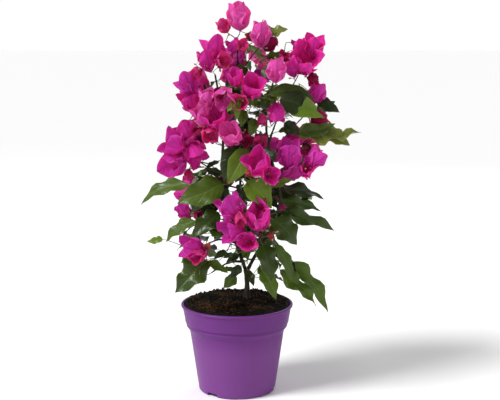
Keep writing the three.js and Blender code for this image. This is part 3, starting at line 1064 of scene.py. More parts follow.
# Shares run left to right, front to back and bottom to top of the mass's box. A head has its place,
# length, aim, turn about that aim, opening and tint. A leaf has its foot, its tip, the way it faces,
# width, fold, arch, twist, wave, tone and sway. What is left out stays at its usual value.
HEADS = {
    "bloom_mass_top": (
        Head((0.55, 0.35, 0.60), 0.050, (-140, 84), 55, 0.12, Tint.PALE_AND_LIT),
        Head((0.15, 0.60, 0.35), 0.029, (165, 55), 20, 0.20, Tint.ROSE),
        Head((0.40, 0.10, -0.18), 0.028, (-120, 60), 0, 0.20, Tint.PURPLE),
        Head((0.62, 0.00, -0.18), 0.026, (-80, 40), 30, 0.30, Tint.ROSE),
    ),
    "bloom_mass_top_right": (
        Head((0.25, 0.30, 0.60), 0.046, (-95, 84), 0, 0.05, Tint.PALE_AND_LIT),
        Head((0.50, 0.70, 0.30), 0.032, (20, 60), 20, 0.30, Tint.WINE_AND_SHADE),
        Head((-0.05, 0.70, 0.50), 0.017, (-160, 60), 0, 0.10, Tint.YOUNG),
    ),
    "bloom_mass_upper_left": (
        Head((0.55, 0.45, 0.70), 0.046, (150, 80), 30, 0.20),
        Head((0.38, 0.30, 0.45), 0.044, (-155, 72), 0, 0.22),
        Head((0.75, 0.30, 0.40), 0.030, (-60, 20), 20, 0.50, Tint.ROSE),
        Head((0.10, 0.50, 0.15), 0.026, (-150, -30), 0, 0.40, Tint.ROSE),
    ),
    "bloom_mass_upper_right": (
        Head((0.54, 0.25, 0.42), 0.064, (-85, 40), -35, 0.26),
        Head((0.20, 0.20, 0.32), 0.038, (-130, 72), 10, 0.18),
        Head((0.78, 0.35, 0.72), 0.046, (-75, 76), 0, 0.10),
        Head((0.42, 0.65, 0.70), 0.034, (140, 80), 0, 0.15),
        Head((0.75, 0.35, 0.10), 0.026, (-60, -60), 0, 0.35, Tint.WINE_AND_SHADE),
    ),
    "bloom_mass_upper_middle": (
        Head((0.50, 0.10, 0.40), 0.044, (-90, 86), 0, 0.04, Tint.PALE_AND_LIT),
        Head((0.75, 0.60, 0.80), 0.022, (-60, 50), 0, 0.50, Tint.WINE_AND_SHADE),
    ),
    "bloom_mass_upper_front": (
        Head((0.30, 0.25, 0.68), 0.036, (-110, 62), 60, 0.30),
        Head((0.68, 0.20, 0.45), 0.047, (-82, 42), -20, 0.32),
        Head((0.07, 0.20, 0.32), 0.040, (-105, -40), 180, 0.40, Tint.PALE_AND_LIT),
        Head((0.42, 0.08, 0.18), 0.032, (-110, 5), 150, 0.40, Tint.ROSE),
    ),
    "bloom_mass_left_high": (
        Head((0.40, 0.40, 0.70), 0.044, (168, 48), 30, 0.30, Tint.PURPLE),
        Head((0.50, 0.25, 0.32), 0.042, (-125, 60), 20, 0.18),
        Head((0.75, 0.45, 0.45), 0.036, (150, 60), 0, 0.30),
    ),
    "bloom_mass_left_centre": (
        Head((0.35, 0.30, 0.75), 0.038, (-95, 80), 20, 0.10, Tint.PALE_AND_LIT),
        Head((0.60, 0.45, 0.75), 0.034, (-60, 75), 50, 0.15, Tint.WINE_AND_SHADE),
        Head((0.22, 0.30, 0.40), 0.044, (-140, 60), 30, 0.25, Tint.PALE_AND_LIT),
        Head((0.60, 0.15, 0.32), 0.050, (-100, 50), 60, 0.34),
        Head((0.80, 0.30, 0.50), 0.016, (-90, -20), 0, 0.20, Tint.YOUNG),
        Head((0.42, 0.25, 0.02), 0.036, (-80, -20), 0, 0.22, Tint.ROSE),
    ),
    "bloom_mass_centre_right": (
        Head((0.70, 0.25, 0.60), 0.034, (-75, -75), 0, 0.25),
        Head((0.35, 0.25, 0.45), 0.021, (-90, -60), 0, 0.15, Tint.ROSE),
    ),
    "bloom_mass_right_high": (
        Head((0.45, 0.60, 0.80), 0.042, (-40, 72), 10, 0.20, Tint.PURPLE),
        Head((0.50, 0.20, 0.15), 0.038, (0, -50), 20, 0.30, Tint.WINE_AND_SHADE),
    ),
    "bloom_mass_front_middle": (
        Head((0.45, 0.20, 0.40), 0.044, (-125, 40), 75, 0.26, Tint.PALE_AND_LIT),
        Head((0.85, 0.50, 0.30), 0.028, (-60, -30), 0, 0.35, Tint.WINE_AND_SHADE),
    ),
    "bloom_mass_far_left": (
        Head((0.60, 0.35, 0.74), 0.048, (160, 58), 10, 0.30),
        Head((0.36, 0.20, 0.58), 0.054, (-150, 25), 0, 0.36, Tint.PURPLE),
        Head((0.34, 0.12, 0.30), 0.050, (-140, -20), 60, 0.30, Tint.PURPLE),
        Head((0.74, 0.15, 0.50), 0.048, (-60, -40), 0, 0.25),
        Head((0.60, 0.35, 0.08), 0.023, (-120, -70), 0, 0.25, Tint.ROSE),
        Head((0.66, 0.45, 0.66), 0.046, (-110, 45), 40, 0.25, Tint.PALE_AND_LIT),
        Head((0.86, 0.30, 0.74), 0.034, (-100, -30), 20, 0.20, Tint.WINE_AND_SHADE),
    ),
    "bloom_mass_front_right": (
        Head((0.42, 0.20, 0.36), 0.052, (-112, 46), 30, 0.32),
        Head((0.70, 0.08, 0.18), 0.034, (-75, 10), 180, 0.30),
        Head((0.45, 0.50, 0.85), 0.028, (-90, 80), 0, 0.20, Tint.WINE_AND_SHADE),
        Head((0.15, 0.30, 0.22), 0.015, (-110, -60), 0, 0.15, Tint.YOUNG),
    ),
    "bloom_mass_right_middle": (
        Head((0.28, 0.25, 0.65), 0.052, (-70, 76), -10, 0.12, Tint.PURPLE),
        Head((0.75, 0.35, 0.50), 0.042, (15, 42), 20, 0.30, Tint.PURPLE),
        Head((0.60, 0.20, 0.28), 0.034, (-80, 30), 0, 0.20),
    ),
    "bloom_mass_front_low": (
        Head((0.20, 0.25, 0.80), 0.048, (-165, 60), 10, 0.30, Tint.PURPLE),
        Head((0.25, 0.20, 0.35), 0.048, (-150, 5), 30, 0.45, Tint.PURPLE),
        Head((0.36, 0.05, 0.64), 0.032, (-80, -48), 60, 0.12, Tint.ROSE),
        Head((0.75, 0.20, 0.60), 0.050, (-85, 68), 60, 0.30),
        Head((0.55, 0.08, 0.17), 0.037, (-105, 14), 180, 0.32),
        Head((0.80, 0.50, 0.80), 0.028, (-90, 70), 0, 0.20, Tint.WINE_AND_SHADE),
        Head((1.00, 0.30, 0.28), 0.014, (-60, -50), 0, 0.15, Tint.YOUNG),
    ),
    "leaf_mass_left_low": (
        Head((0.15, 0.80, 0.75), 0.036, (165, 50), 0, 0.25, Tint.PURPLE),
        Head((0.45, 0.45, 0.70), 0.022, (-60, -10), 0, 0.20, Tint.WINE_AND_SHADE),
    ),
    "bloom_mass_lower_left": (
        Head((0.78, 0.10, 0.56), 0.047, (-160, 14), 15, 0.25, Tint.PURPLE),
        Head((0.86, 0.02, 0.40), 0.038, (-125, -10), 40, 0.15, Tint.ROSE),
        Head((0.98, 0.25, 0.55), 0.016, (0, 10), 0, 0.10, Tint.YOUNG),
    ),
}

LEAVES = {
    "bloom_mass_top_right": (
        Leaf((0.45, 0.60, 0.55), (1.00, 0.60, 0.72), (-80, 45), 0.72, 25, -30, 0, 0.25, Tone.OLIVE),
        Leaf((0.40, 0.45, -0.08), (1.00, 0.60, 0.00), (-90, 40), 0.55),
        Leaf((0.35, 0.60, -0.20), (0.20, 0.30, 0.08), (-60, 20), 0.35, tone=Tone.OLIVE),
    ),
    "leaf_mass_right_high": (
        Leaf((-0.25, 0.40, 0.70), (1.05, 0.60, 0.55), (-95, 38), 0.36, 20, -20, 0, 0.1, Tone.DEEP, -0.12),
        Leaf((0.02, 0.20, 0.55), (1.05, 0.40, 0.12), (-95, 26), 0.66, 18, -30, 0, 0.1, Tone.DARK, -0.04),
        Leaf((0.84, 0.30, 0.05), (0.76, 0.00, 0.64), (-95, 15), 0.72, 12, -10, 0, 0.0, Tone.LIGHT),
        Leaf((0.30, 0.08, 0.16), (1.27, 0.20, 0.02), (-90, 30), 0.36, 15, -35, 0, 0.05, Tone.LIGHT, -0.05),
    ),
    "bloom_mass_right_high": (
        Leaf((0.50, 0.85, 0.60), (1.10, 0.75, 0.30), (-110, 30), 0.55, tone=Tone.DARK),
    ),
    "bloom_mass_upper_front": (
        Leaf((0.65, 0.60, 0.10), (0.78, 0.50, 0.40), (-90, 30), 0.70),
        Leaf((0.36, 0.05, 0.24), (0.10, -0.10, -0.02), (-100, 30), 0.45, tone=Tone.LIGHT),
        Leaf((0.36, 0.05, 0.22), (0.30, -0.10, -0.20), (-70, 20), 0.40, tone=Tone.LIGHT),
    ),
    "bloom_mass_front_middle": (
        Leaf((0.75, 0.65, 1.05), (0.70, 0.30, 0.62), (-80, 20), 0.75, 30, -30, 20),
        Leaf((1.15, 0.70, 0.80), (0.95, 0.40, 0.35), (-70, 20), 0.60),
    ),
    "leaf_mass_far_right": (
        Leaf((-0.05, 0.50, 0.50), (1.00, 0.50, 0.60), (-96, 46), 0.42, 36, -10, 40, 0.5, Tone.OLIVE, 0.12),
        Leaf((0.00, 0.40, 0.55), (0.56, 0.30, 0.88), (-95, 15), 0.42, 20, -20, 0, 0.3, Tone.MID, 0.05),
        Leaf((0.32, 0.35, 0.62), (0.80, 0.30, 0.08), (-100, 40), 0.62, tone=Tone.OLIVE),
        Leaf((-0.25, 0.40, 0.90), (0.00, 0.40, 0.45), (-90, 20), 0.70, tone=Tone.DARK),
    ),
    "leaf_mass_front_centre": (
        # Painted light and shade: these two leaves stand for one leaf, the light-green one for its lit half
        # and the dark-green one, behind it on the left, for its shaded half.
        Leaf((0.86, 0.30, 0.98), (0.36, 0.00, 0.04), (-84, 14), 0.62, 24, -25, 10, 0.06, Tone.LIGHT),
        Leaf((0.66, 0.45, 1.00), (0.24, 0.20, 0.14), (-100, 8), 0.80, 24, -25, -10, 0.1, Tone.DARK),
        Leaf((0.85, 0.60, 1.00), (0.70, 0.50, 0.60), (-60, 20), 0.50, tone=Tone.OLIVE),
        Leaf((0.85, 0.80, 0.60), (0.55, 0.70, 0.00), (-100, 10), 0.70, tone=Tone.DARK),
        Leaf((0.15, 0.80, 0.20), (-0.30, 0.80, 0.40), (-90, 25), 0.55, tone=Tone.DARK),
    ),
    "leaf_mass_far_left": (
        Leaf((1.20, 0.40, 0.95), (0.02, 0.70, 0.08), (-98, 40), 0.33, 26, -20, 0, 0.3, Tone.MID, 0.10),
    ),
    "leaf_mass_front_left": (
        Leaf((0.95, 0.50, 0.65), (0.05, 0.20, 0.20), (-92, 24), 0.62, 22, -40, 0, 0.2),
        Leaf((0.60, 0.80, 0.40), (0.30, 0.70, -0.10), (-100, 20), 0.70, tone=Tone.DARK),
    ),
    "leaf_mass_front_right": (
        Leaf((-0.02, 0.30, 0.85), (0.65, 0.10, 0.15), (-82, 26), 0.92, 36, -30, 0, 0.12, Tone.LIGHT),
        Leaf((0.70, 0.50, 0.70), (1.25, 0.60, 0.90), (-90, 45), 0.45, tone=Tone.OLIVE),
    ),
    "leaf_mass_right_middle": (
        Leaf((-0.45, 0.20, 0.96), (0.80, 0.85, 0.76), (-100, 36), 0.28, 20, -30, 0, 0.50, Tone.DARK, -0.06),
        Leaf((-0.30, 0.20, 0.76), (0.70, 0.50, 0.46), (-100, 34), 0.28, 20, -30, 0, 0.55, Tone.DEEP, -0.05),
        Leaf((-0.22, 0.10, 0.50), (1.00, 0.20, 0.00), (-92, 30), 0.27, 20, -20, 10, 0.65, Tone.DEEP, -0.05),
    ),
    "leaf_mass_right_low": (
        Leaf((0.25, 0.30, 0.70), (0.95, 0.15, 0.12), (-78, 28), 0.84, 25, -45, 0, 0.3, Tone.DEEP),
        Leaf((0.60, 0.40, 0.90), (0.90, 0.40, 0.82), (-90, 50), 0.40, tone=Tone.DARK),
    ),
    "leaf_mass_left_low": (
        Leaf((0.90, 0.40, 0.78), (0.35, 0.15, 0.10), (-95, 32), 0.65, 25, -35, 0, 0.3, Tone.DEEP),
        Leaf((0.90, 0.70, 0.95), (0.35, 0.60, 0.75), (-100, 35), 0.60, tone=Tone.DARK),
        Leaf((0.40, 0.30, 0.55), (-0.25, 0.50, -0.10), (-100, 45), 0.45, 28, -40, 0, 0.3),
    ),
    "bloom_mass_lower_left": (
        Leaf((0.27, 0.85, 0.62), (0.01, 0.90, 0.55), (-90, 30), 0.50, tone=Tone.LIGHT),
        Leaf((0.92, 0.50, 0.60), (0.80, 0.40, 0.25), (-90, 30), 0.50, tone=Tone.LIGHT),
        Leaf((0.70, 0.50, 0.30), (0.58, 0.40, 0.05), (-90, 30), 0.50, tone=Tone.LIGHT),
    ),
    "leaf_mass_foot_left": (
        Leaf((0.70, 0.40, 0.95), (0.04, 0.10, 0.10), (-100, 26), 0.68, 26, -50, 20, 0.5, Tone.DEEP),
        Leaf((0.65, 0.50, 0.90), (1.10, 0.40, 0.60), (-85, 40), 0.45, 25, -40, 0, 0.3),
        Leaf((1.35, 0.90, 0.70), (1.15, 0.80, 0.35), (-90, 20), 0.65, tone=Tone.DARK),
        Leaf((1.25, 0.90, 0.40), (1.00, 0.80, 0.05), (-80, 20), 0.75),
        Leaf((1.05, 0.85, 1.15), (0.80, 0.60, 0.95), (-95, 35), 0.50, tone=Tone.DARK),
        Leaf((1.00, 0.90, 0.95), (1.25, 0.70, 1.10), (-80, 40), 0.45, tone=Tone.DARK),
        Leaf((1.20, 0.95, 0.60), (0.95, 0.75, 0.55), (-95, 40), 0.50),
        Leaf((1.50, 0.95, 0.55), (1.62, 0.80, 0.10), (-75, 20), 0.50, tone=Tone.DARK),
        Leaf((1.30, 0.90, 1.05), (1.05, 0.80, 0.75), (-90, 30), 0.60, tone=Tone.DARK),
    ),
    "leaf_mass_foot_right": (
        Leaf((0.15, 0.40, 1.00), (0.45, 0.05, 0.35), (-72, 22), 0.62, 25, -40, 15, 0.3, Tone.DEEP),
        Leaf((0.15, 0.50, 0.50), (0.60, 0.20, -0.02), (-75, 18), 0.55, 25, -25, 0, 0.2),
        Leaf((0.60, 0.40, 1.00), (1.15, 0.30, 0.30), (-62, 25), 0.36),
    ),
    "leaf_mass_foot_far_right": (
        Leaf((-0.05, 0.40, 0.85), (0.75, 0.40, 0.10), (-86, 28), 0.32, 26, -25, 30, 0.80, Tone.MID, -0.03),
        Leaf((0.25, 0.50, 1.00), (1.00, 0.30, 0.00), (-78, 28), 0.25, 26, -25, -30, 0.90, Tone.MID, -0.05),
        Leaf((0.10, 0.70, 1.00), (0.40, 0.60, 0.72), (-80, 35), 0.50, tone=Tone.DARK),
    ),
}


@dataclass(frozen=True)
class Gap:
    """A gap in the crown that the sky shows through, seen from the front."""

    side: float
    height: float
    radius: float


GAPS = (
    Gap(-0.041, 0.465, 0.008),
    Gap(-0.025, 0.497, 0.007),
    Gap(0.050, 0.400, 0.011),
    Gap(0.075, 0.401, 0.008),
    Gap(-0.029, 0.361, 0.009),
    Gap(-0.006, 0.316, 0.008),
    Gap(0.090, 0.315, 0.014),
    Gap(0.077, 0.289, 0.007),
    Gap(-0.019, 0.225, 0.008),
    Gap(-0.028, 0.190, 0.017),
    Gap(-0.004, 0.180, 0.016),
    Gap(0.030, 0.200, 0.010),
    Gap(0.012, 0.160, 0.022),
    Gap(0.074, 0.221, 0.013),
    Gap(-0.006, 0.207, 0.010),
)


@dataclass(frozen=True)
class Filling:
    """How seeded leaves or heads fill a mass.

    Their depth is the least and the most share of the way from the mass's middle to its skin.
    """

    looks: tuple[Tone | Tint, ...]
    depth: Pair
    lengths: Pair
    setback: float = 0.0


# Painted shade: the front's seeded leaves, set back inside the masses, are mostly of the darkest green.
FRONT_LEAVES = Filling((Tone.DARK, Tone.DEEP, Tone.DARK), (0.0, 0.6), (0.022, 0.036), 0.018)
BACK_LEAVES = Filling((Tone.DARK, Tone.DEEP, Tone.MID, Tone.LIGHT), (0.45, 0.95), (0.030, 0.048))
BACK_HEADS = Filling(
    (Tint.MAGENTA, Tint.MAGENTA, Tint.PURPLE, Tint.PALE_AND_LIT, Tint.ROSE, Tint.WINE_AND_SHADE), (0.6, 0.95), (0.034, 0.048)
)
STRAY_HEADS = Filling((Tint.MAGENTA,), (0.7, 0.95), (0.030, 0.044))


@dataclass
class Eye:
    """Where the bush is looked at from, and how."""

    place: Place = (0.0, -1.527, 0.526)
    down: float = 8.73
    right: float = 0.742
    lens: float = 74.2

    def through(self, point: np.ndarray) -> Pair:
        """Where the sight line to a point crosses the plane of the pot's axis.

        Args:
            point: the point.

        Returns:
            Its place to the side and its height there.
        """
        share = -self.place[1] / (float(point[1]) - self.place[1])
        return float(point[0]) * share, self.place[2] + (float(point[2]) - self.place[2]) * share

    def in_gap(self, points: Iterable[np.ndarray]) -> bool:
        """Whether any of the points would close one of the gaps."""
        for point in points:
            side, height = self.through(point)
            if any(math.hypot(side - gap.side, height - gap.height) < gap.radius for gap in GAPS):
                return True
        return False


@dataclass
class Blossom:
    """The true flowers inside the heads, and their buds: slim tubes, a few with a cream star."""

    tube_share: float = 0.42
    tube_radius: float = 0.0009
    star_radius: float = 0.0019
    bud_length: float = 0.0060
    bud_girth: float = 0.30
    usual_bract: float = 0.04
    sides: int = 6

    def start(self) -> None:
        """Opens the three piles."""
        tube = PetalFinish("flower_tube", (0.46, 0.05, 0.14), (0.66, 0.20, 0.20))
        star = PetalFinish("flower_star", (0.80, 0.70, 0.38), (0.90, 0.84, 0.62))
        bud = PetalFinish("flower_bud", (0.36, 0.26, 0.08), (0.74, 0.32, 0.28))
        self.tubes = Pile("flower_tubes", "bract", tube.make())
        self.stars = Pile("flower_stars", "bract", star.make())
        self.buds = Pile("flower_buds", "bract", bud.make())

    def add_flower(self, midrib: np.ndarray, inward: np.ndarray, length: float, star: bool) -> None:
        """Adds one flower along a bract's midrib.

        Args:
            midrib: the bract's middle line.
            inward: the way to the head's axis, along it.
            length: the bract's length.
            star: whether its star has opened.
        """
        steps = np.linspace(0.06, self.tube_share, 6) * (len(midrib) - 1)
        index = steps.astype(int)
        lift = np.linspace(0.0006, 0.0022, 6)[:, None]
        line = midrib[index] + inward[index] * lift + UP * 1e-5
        shape = np.array((0.55, 1.0, 1.15, 0.8, 0.85, 1.1 if star else 0.5))
        self.tubes.add_tube(line, shape * self.tube_radius * length / self.usual_bract, self.sides)
        if star:
            self._add_star(line[-1], unit(line[-1] - line[-2]))

    def _add_star(self, centre: np.ndarray, facing: np.ndarray) -> None:
        """Adds a star of five lobes."""
        right = across(np.array((0.9, 0.3, 0.1)), facing)
        for lobe in range(5):
            out = turned(right, facing, 72 * lobe)
            side = np.cross(facing, out)
            widths = np.array((0.12, 0.42, 0.55, 0.05)) * self.star_radius
            steps = np.array((0.05, 0.45, 0.8, 1.05)) * self.star_radius
            lift = np.array((0.0, 0.25, 0.32, 0.25)) * self.star_radius
            middle = centre + np.outer(steps, out) + np.outer(lift, facing)
            rows = [middle - side * widths[:, None], middle, middle + side * widths[:, None]]
            self.stars.add_sheet(np.stack(rows, 1))

    def add_bud(self, foot: np.ndarray, aim: np.ndarray, scale: float) -> None:
        """Adds one closed bud."""
        line = foot + np.outer(np.linspace(0, self.bud_length * scale, 6), aim)
        shape = np.array((0.25, 0.75, 1.0, 0.95, 0.6, 0.15))
        self.buds.add_tube(line, shape * self.bud_length * scale * self.bud_girth, self.sides)

    def build(self) -> None:
        """Makes the three pieces."""
        for pile in (self.tubes, self.stars, self.buds):
            pile.build()


@dataclass
class Crown:
    """Leaves, bract heads and flowers, all carried by twigs that grow on from the limbs.

    The masses in sparse get no seeded leaves.
    """

    wood: Wood
    eye: Eye
    leaf_cutter: LeafCutter = field(default_factory=LeafCutter)
    bract_cutter: BractCutter = field(default_factory=BractCutter)
    small_leaf_cutter: LeafCutter = field(default_factory=lambda: LeafCutter(rows=9, columns=5))
    small_bract_cutter: BractCutter = field(
        default_factory=lambda: BractCutter(rows=10, columns=7, pleat=0.0)
    )
    blossom: Blossom = field(default_factory=Blossom)
    axis: Pair = (0.008, 0.002)
    overhang: float = 0.008
    front_fill: int = 4
    sparse: tuple[str, ...] = (
        "leaf_mass_far_left", "leaf_mass_far_right", "leaf_mass_right_middle", "leaf_mass_foot_far_right",
        "leaf_mass_foot_left", "leaf_mass_left_low", "bloom_mass_top", "bloom_mass_lower_left",
    )
    back_leaves: int = 22
    back_heads: int = 9
    bloom_leaves: int = 7
    stray_heads: int = 2
    spray: int = 4
    front_buds: float = 0.75
    back_buds: float = 0.3
    least_flowering: float = 0.02
    star_opening: float = 0.3
    star_share: float = 0.16
    stalk_drop: float = 0.002
    stalk_bow: float = 0.0006
    stalk_overlap: float = 0.0012
    stalk_radii: tuple[float, ...] = (0.00055, 0.0005, 0.00045)
    shut_foot: float = 0.46
    foot_rise: float = 0.22
    leaf_stalk: float = 0.00045
    head_stalk: float = 0.00070
    bud_stalk: float = 0.00035
    core_leaves: int = 90
    core_heights: Pair = (0.24, 0.48)
    core_reach: float = 0.105

    def __post_init__(self) -> None:
        """Opens the piles and the list of shapes that wait for a twig."""
        self.grain = np.random.default_rng(SEED)
        self.twigs = Twigs(self.wood, self.grain)
        self.blossom.start()
        self.greens = {tone: Pile(tone.value.name, "leaf", tone.value.make()) for tone in Tone}
        self.pinks = {tint: Pile(tint.value.name, "bract", tint.value.make()) for tint in Tint}
        self.masses = sorted(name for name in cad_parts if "_mass_" in name)
        self.waiting: list[tuple[np.ndarray, np.ndarray, float]] = []
        low, high = (np.array(corner) for corner in CAD_BOX)
        self.low, self.high = low - self.overhang, high
        self.core_top = high[2] + self.overhang

    def _spot(self, mass: str, place: Place) -> np.ndarray:
        """A place given in shares of a mass's box."""
        low, high = (np.array(corner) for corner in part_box(mass))
        return low + (high - low) * np.array(place)

    def _hold(self, points: np.ndarray) -> np.ndarray:
        """Points brought back into the plant's box, which the front may overhang a little."""
        return np.clip(points, self.low, self.high)

    def add_leaf(
        self, leaf: Leaf, foot: np.ndarray, tip: np.ndarray, face: np.ndarray, cutter: LeafCutter
    ) -> None:
        """Adds a leaf and its stalk.

        Args:
            leaf: its proportions and tone.
            foot: where its blade starts.
            tip: where its blade ends.
            face: the way that its upper side looks.
            cutter: what cuts its blade.
        """
        rows = cutter.cut(foot, tip, face, leaf, self.grain)
        self.greens[leaf.tone].add_sheet(self._hold(rows))
        run = unit(rows[2, rows.shape[1] // 2] - foot)
        start = foot - run * cutter.stalk - UP * self.stalk_drop
        bow, end = (start + foot) / 2 + UP * self.stalk_bow, foot + run * self.stalk_overlap
        self.twigs.green.add_tube(np.vstack((start, bow, end)), np.array(self.stalk_radii), 5)
        self.waiting.append((start, unit(foot - start), self.leaf_stalk))

    def add_head(self, head: Head, middle: np.ndarray, axis: np.ndarray, cutter: BractCutter) -> None:
        """Adds a head of three bracts with its flowers.

        Args:
            head: its proportions and tint.
            middle: its middle.
            axis: the way that it points.
            cutter: what cuts its bracts.
        """
        foot = middle - axis * head.length * (self.shut_foot - self.foot_rise * head.opening)
        first = across(FRONT if abs(axis @ FRONT) < 0.85 else UP, axis)
        for number in range(3):
            out = turned(first, axis, head.turn + 120 * number + self.grain.uniform(-9, 9))
            length = head.length * self.grain.uniform(0.84, 0.98)
            rows, midrib, inward = cutter.cut(foot, axis, out, length, head.opening, self.grain)
            self.pinks[head.tint].add_sheet(self._hold(rows))
            if head.length > self.least_flowering:
                star = head.opening > self.star_opening and self.grain.random() < self.star_share
                self.blossom.add_flower(midrib, inward, length, star)
        self.waiting.append((foot, axis, self.head_stalk))

    def _buds_beside(self, foot: np.ndarray, axis: np.ndarray) -> None:
        """Adds a few buds on fine stalks beside a head's foot."""
        for _ in range(int(self.grain.integers(2, 5))):
            aim = unit(axis * 0.4 + self.grain.normal(0, 0.7, 3) + UP * 0.3)
            start = foot + aim * self.grain.uniform(0.005, 0.011)
            self.blossom.add_bud(start, aim, self.grain.uniform(0.6, 1.05))
            self.waiting.append((start, aim, self.bud_stalk))

    def hang_front(self) -> None:
        """Adds the heads and leaves that are held by name."""
        for mass, heads in HEADS.items():
            for head in heads:
                self.add_head(head, self._spot(mass, head.place), heading(*head.aim), self.bract_cutter)
                if self.grain.random() < self.front_buds:
                    self._buds_beside(*self.waiting[-1][:2])
        for mass, leaves in LEAVES.items():
            for leaf in leaves:
                foot, tip = self._spot(mass, leaf.foot), self._spot(mass, leaf.tip)
                self.add_leaf(leaf, foot, tip, heading(*leaf.face), self.leaf_cutter)

    def _outward(self, place: np.ndarray) -> np.ndarray:
        """Level direction from the crown's axis to a place."""
        return unit(np.array((place[0] - self.axis[0], place[1] - self.axis[1], 0.0)))

    def _seeded_leaf(self, middle: np.ndarray, length: float, tone: Tone) -> None:
        """Adds a leaf that leans out from the crown and droops, unless it would close a gap."""
        out = self._outward(middle)
        run = unit(out + self.grain.normal(0, 0.55, 3) - UP * self.grain.uniform(-0.1, 0.7))
        foot, tip = middle - run * length / 2, middle + run * length / 2
        if self.eye.in_gap((foot, middle, tip)):
            return
        face = unit(out * 0.7 + UP * 0.9 + self.grain.normal(0, 0.3, 3))
        leaf = Leaf(
            width=self.grain.uniform(0.48, 0.72),
            fold=self.grain.uniform(12, 32),
            arch=self.grain.uniform(-60, -10),
            wave=self.grain.uniform(0.1, 0.35),
            twist=self.grain.uniform(-20, 20),
            tone=tone,
        )
        self.add_leaf(leaf, foot, self._hold(tip), face, self.small_leaf_cutter)

    def _seeded_head(self, middle: np.ndarray, length: float, tint: Tint) -> None:
        """Adds a head that leans out from the crown, unless it would close a gap."""
        lean = self._outward(middle) * 0.8 + UP * self.grain.uniform(-0.4, 1.2)
        axis = unit(lean + self.grain.normal(0, 0.3, 3))
        reach = axis * length / 2
        if self.eye.in_gap((middle, middle + reach, middle - reach)):
            return
        turn, opening = self.grain.uniform(0, 120), self.grain.uniform(0.08, 0.6)
        head = Head(length=length, turn=turn, opening=opening, tint=tint)
        self.add_head(head, middle, axis, self.small_bract_cutter)
        if self.grain.random() < self.back_buds:
            self._buds_beside(*self.waiting[-1][:2])

    def _within(self, mass: str, least: float, most: float) -> np.ndarray:
        """A seeded place in a mass.

        Args:
            mass: the mass.
            least: share of the way from its middle to its skin that it lies at least.
            most: share that it lies at most.

        Returns:
            The place.
        """
        way = unit(self.grain.normal(size=3))
        share = self.grain.uniform(least**3, most**3) ** (1 / 3)
        return self._spot(mass, tuple(0.5 + 0.5 * way * share))

    def _pick(self, choices: Sequence[Tone | Tint]) -> Tone | Tint:
        """One of several tones or tints."""
        return choices[int(self.grain.integers(len(choices)))]

    def _fill_leaves(self, mass: str, filling: Filling, count: int) -> None:
        """Adds seeded leaves to a mass, in sprays of one tone each.

        Args:
            mass: the mass.
            filling: how they lie in it.
            count: how many there are before any gap leaves one out.
        """
        tone = self._pick(filling.looks)
        for number in range(count):
            if number % self.spray == 0:
                tone = self._pick(filling.looks)
            place = self._within(mass, *filling.depth) - FRONT * filling.setback
            self._seeded_leaf(place, self.grain.uniform(*filling.lengths), tone)

    def _fill_heads(self, mass: str, filling: Filling, count: int) -> None:
        """Adds seeded heads to a mass, each of its own tint.

        Args:
            mass: the mass.
            filling: how they lie in it.
            count: how many there are before any gap leaves one out.
        """
        for _ in range(count):
            tint = self._pick(filling.looks)
            place = self._within(mass, *filling.depth)
            self._seeded_head(place, self.grain.uniform(*filling.lengths), tint)

    def fill(self) -> None:
        """Fills what the named heads and leaves leave bare: inside the front, and the whole back."""
        for mass in self.masses:
            back, bloom = "_back_" in mass, mass.startswith("bloom")
            leaves = self.front_fill
            if back:
                leaves = self.bloom_leaves if bloom else self.back_leaves
            if mass in self.sparse:
                leaves = 0
            self._fill_leaves(mass, BACK_LEAVES if back else FRONT_LEAVES, leaves)
            if back and bloom:
                self._fill_heads(mass, BACK_HEADS, self.back_heads)
            elif back:
                self._fill_heads(mass, STRAY_HEADS, self.stray_heads)

    def fill_core(self) -> None:
        """Fills the middle of the crown with leaves of the darkest green, painted shade for the inside of
        the crown.
        """
        for _ in range(self.core_leaves):
            height = self.grain.uniform(*self.core_heights)
            reach = self.core_reach * (1.15 - height / self.core_top) * math.sqrt(self.grain.random())
            turn = self.grain.uniform(0, 2 * math.pi)
            side, depth = self.axis[0] + reach * math.cos(turn), self.axis[1] + reach * math.sin(turn)
            length = self.grain.uniform(0.026, 0.042)
            self._seeded_leaf(np.array((side, depth, height)), length, Tone.DARK)

    def grow_twigs(self) -> None:
        """Grows a twig to each shape, those nearest the limbs first."""
        self.waiting.sort(key=lambda end: self.twigs.gap(end[0]))
        for end, aim, radius in self.waiting:
            self.twigs.grow(end, aim, radius)

    def build(self) -> None:
        """Makes all the crown's pieces."""
        self.hang_front()
        self.fill()
        self.fill_core()
        self.grow_twigs()
        self.twigs.build()
        self.blossom.build()
        leafy = [name for name in self.masses if name.startswith("leaf")]
        blooming = [name for name in self.masses if name.startswith("bloom")]
        for tone, pile in self.greens.items():
            pile.build(leafy if tone is Tone.MID else ())
        for tint, pile in self.pinks.items():
            pile.build(blooming if tint is Tint.MAGENTA else ())


# ---------------------------------------------------------------- pot and compost


def arc(middle: Pair, radius: float, start: float, end: float, steps: int) -> list[Pair]:
    """Points of an arc in a profile.

    Args:
        middle: its centre's radius and height.
        radius: its radius.
        start: its first angle in degrees, 0 pointing outwards.
        end: its last angle.
        steps: how many steps it takes.

    Returns:
        Radius and height of each point.
    """
    angles = np.radians(np.linspace(start, end, steps + 1))
    return [(middle[0] + radius * math.cos(a), middle[1] + radius * math.sin(a)) for a in angles]


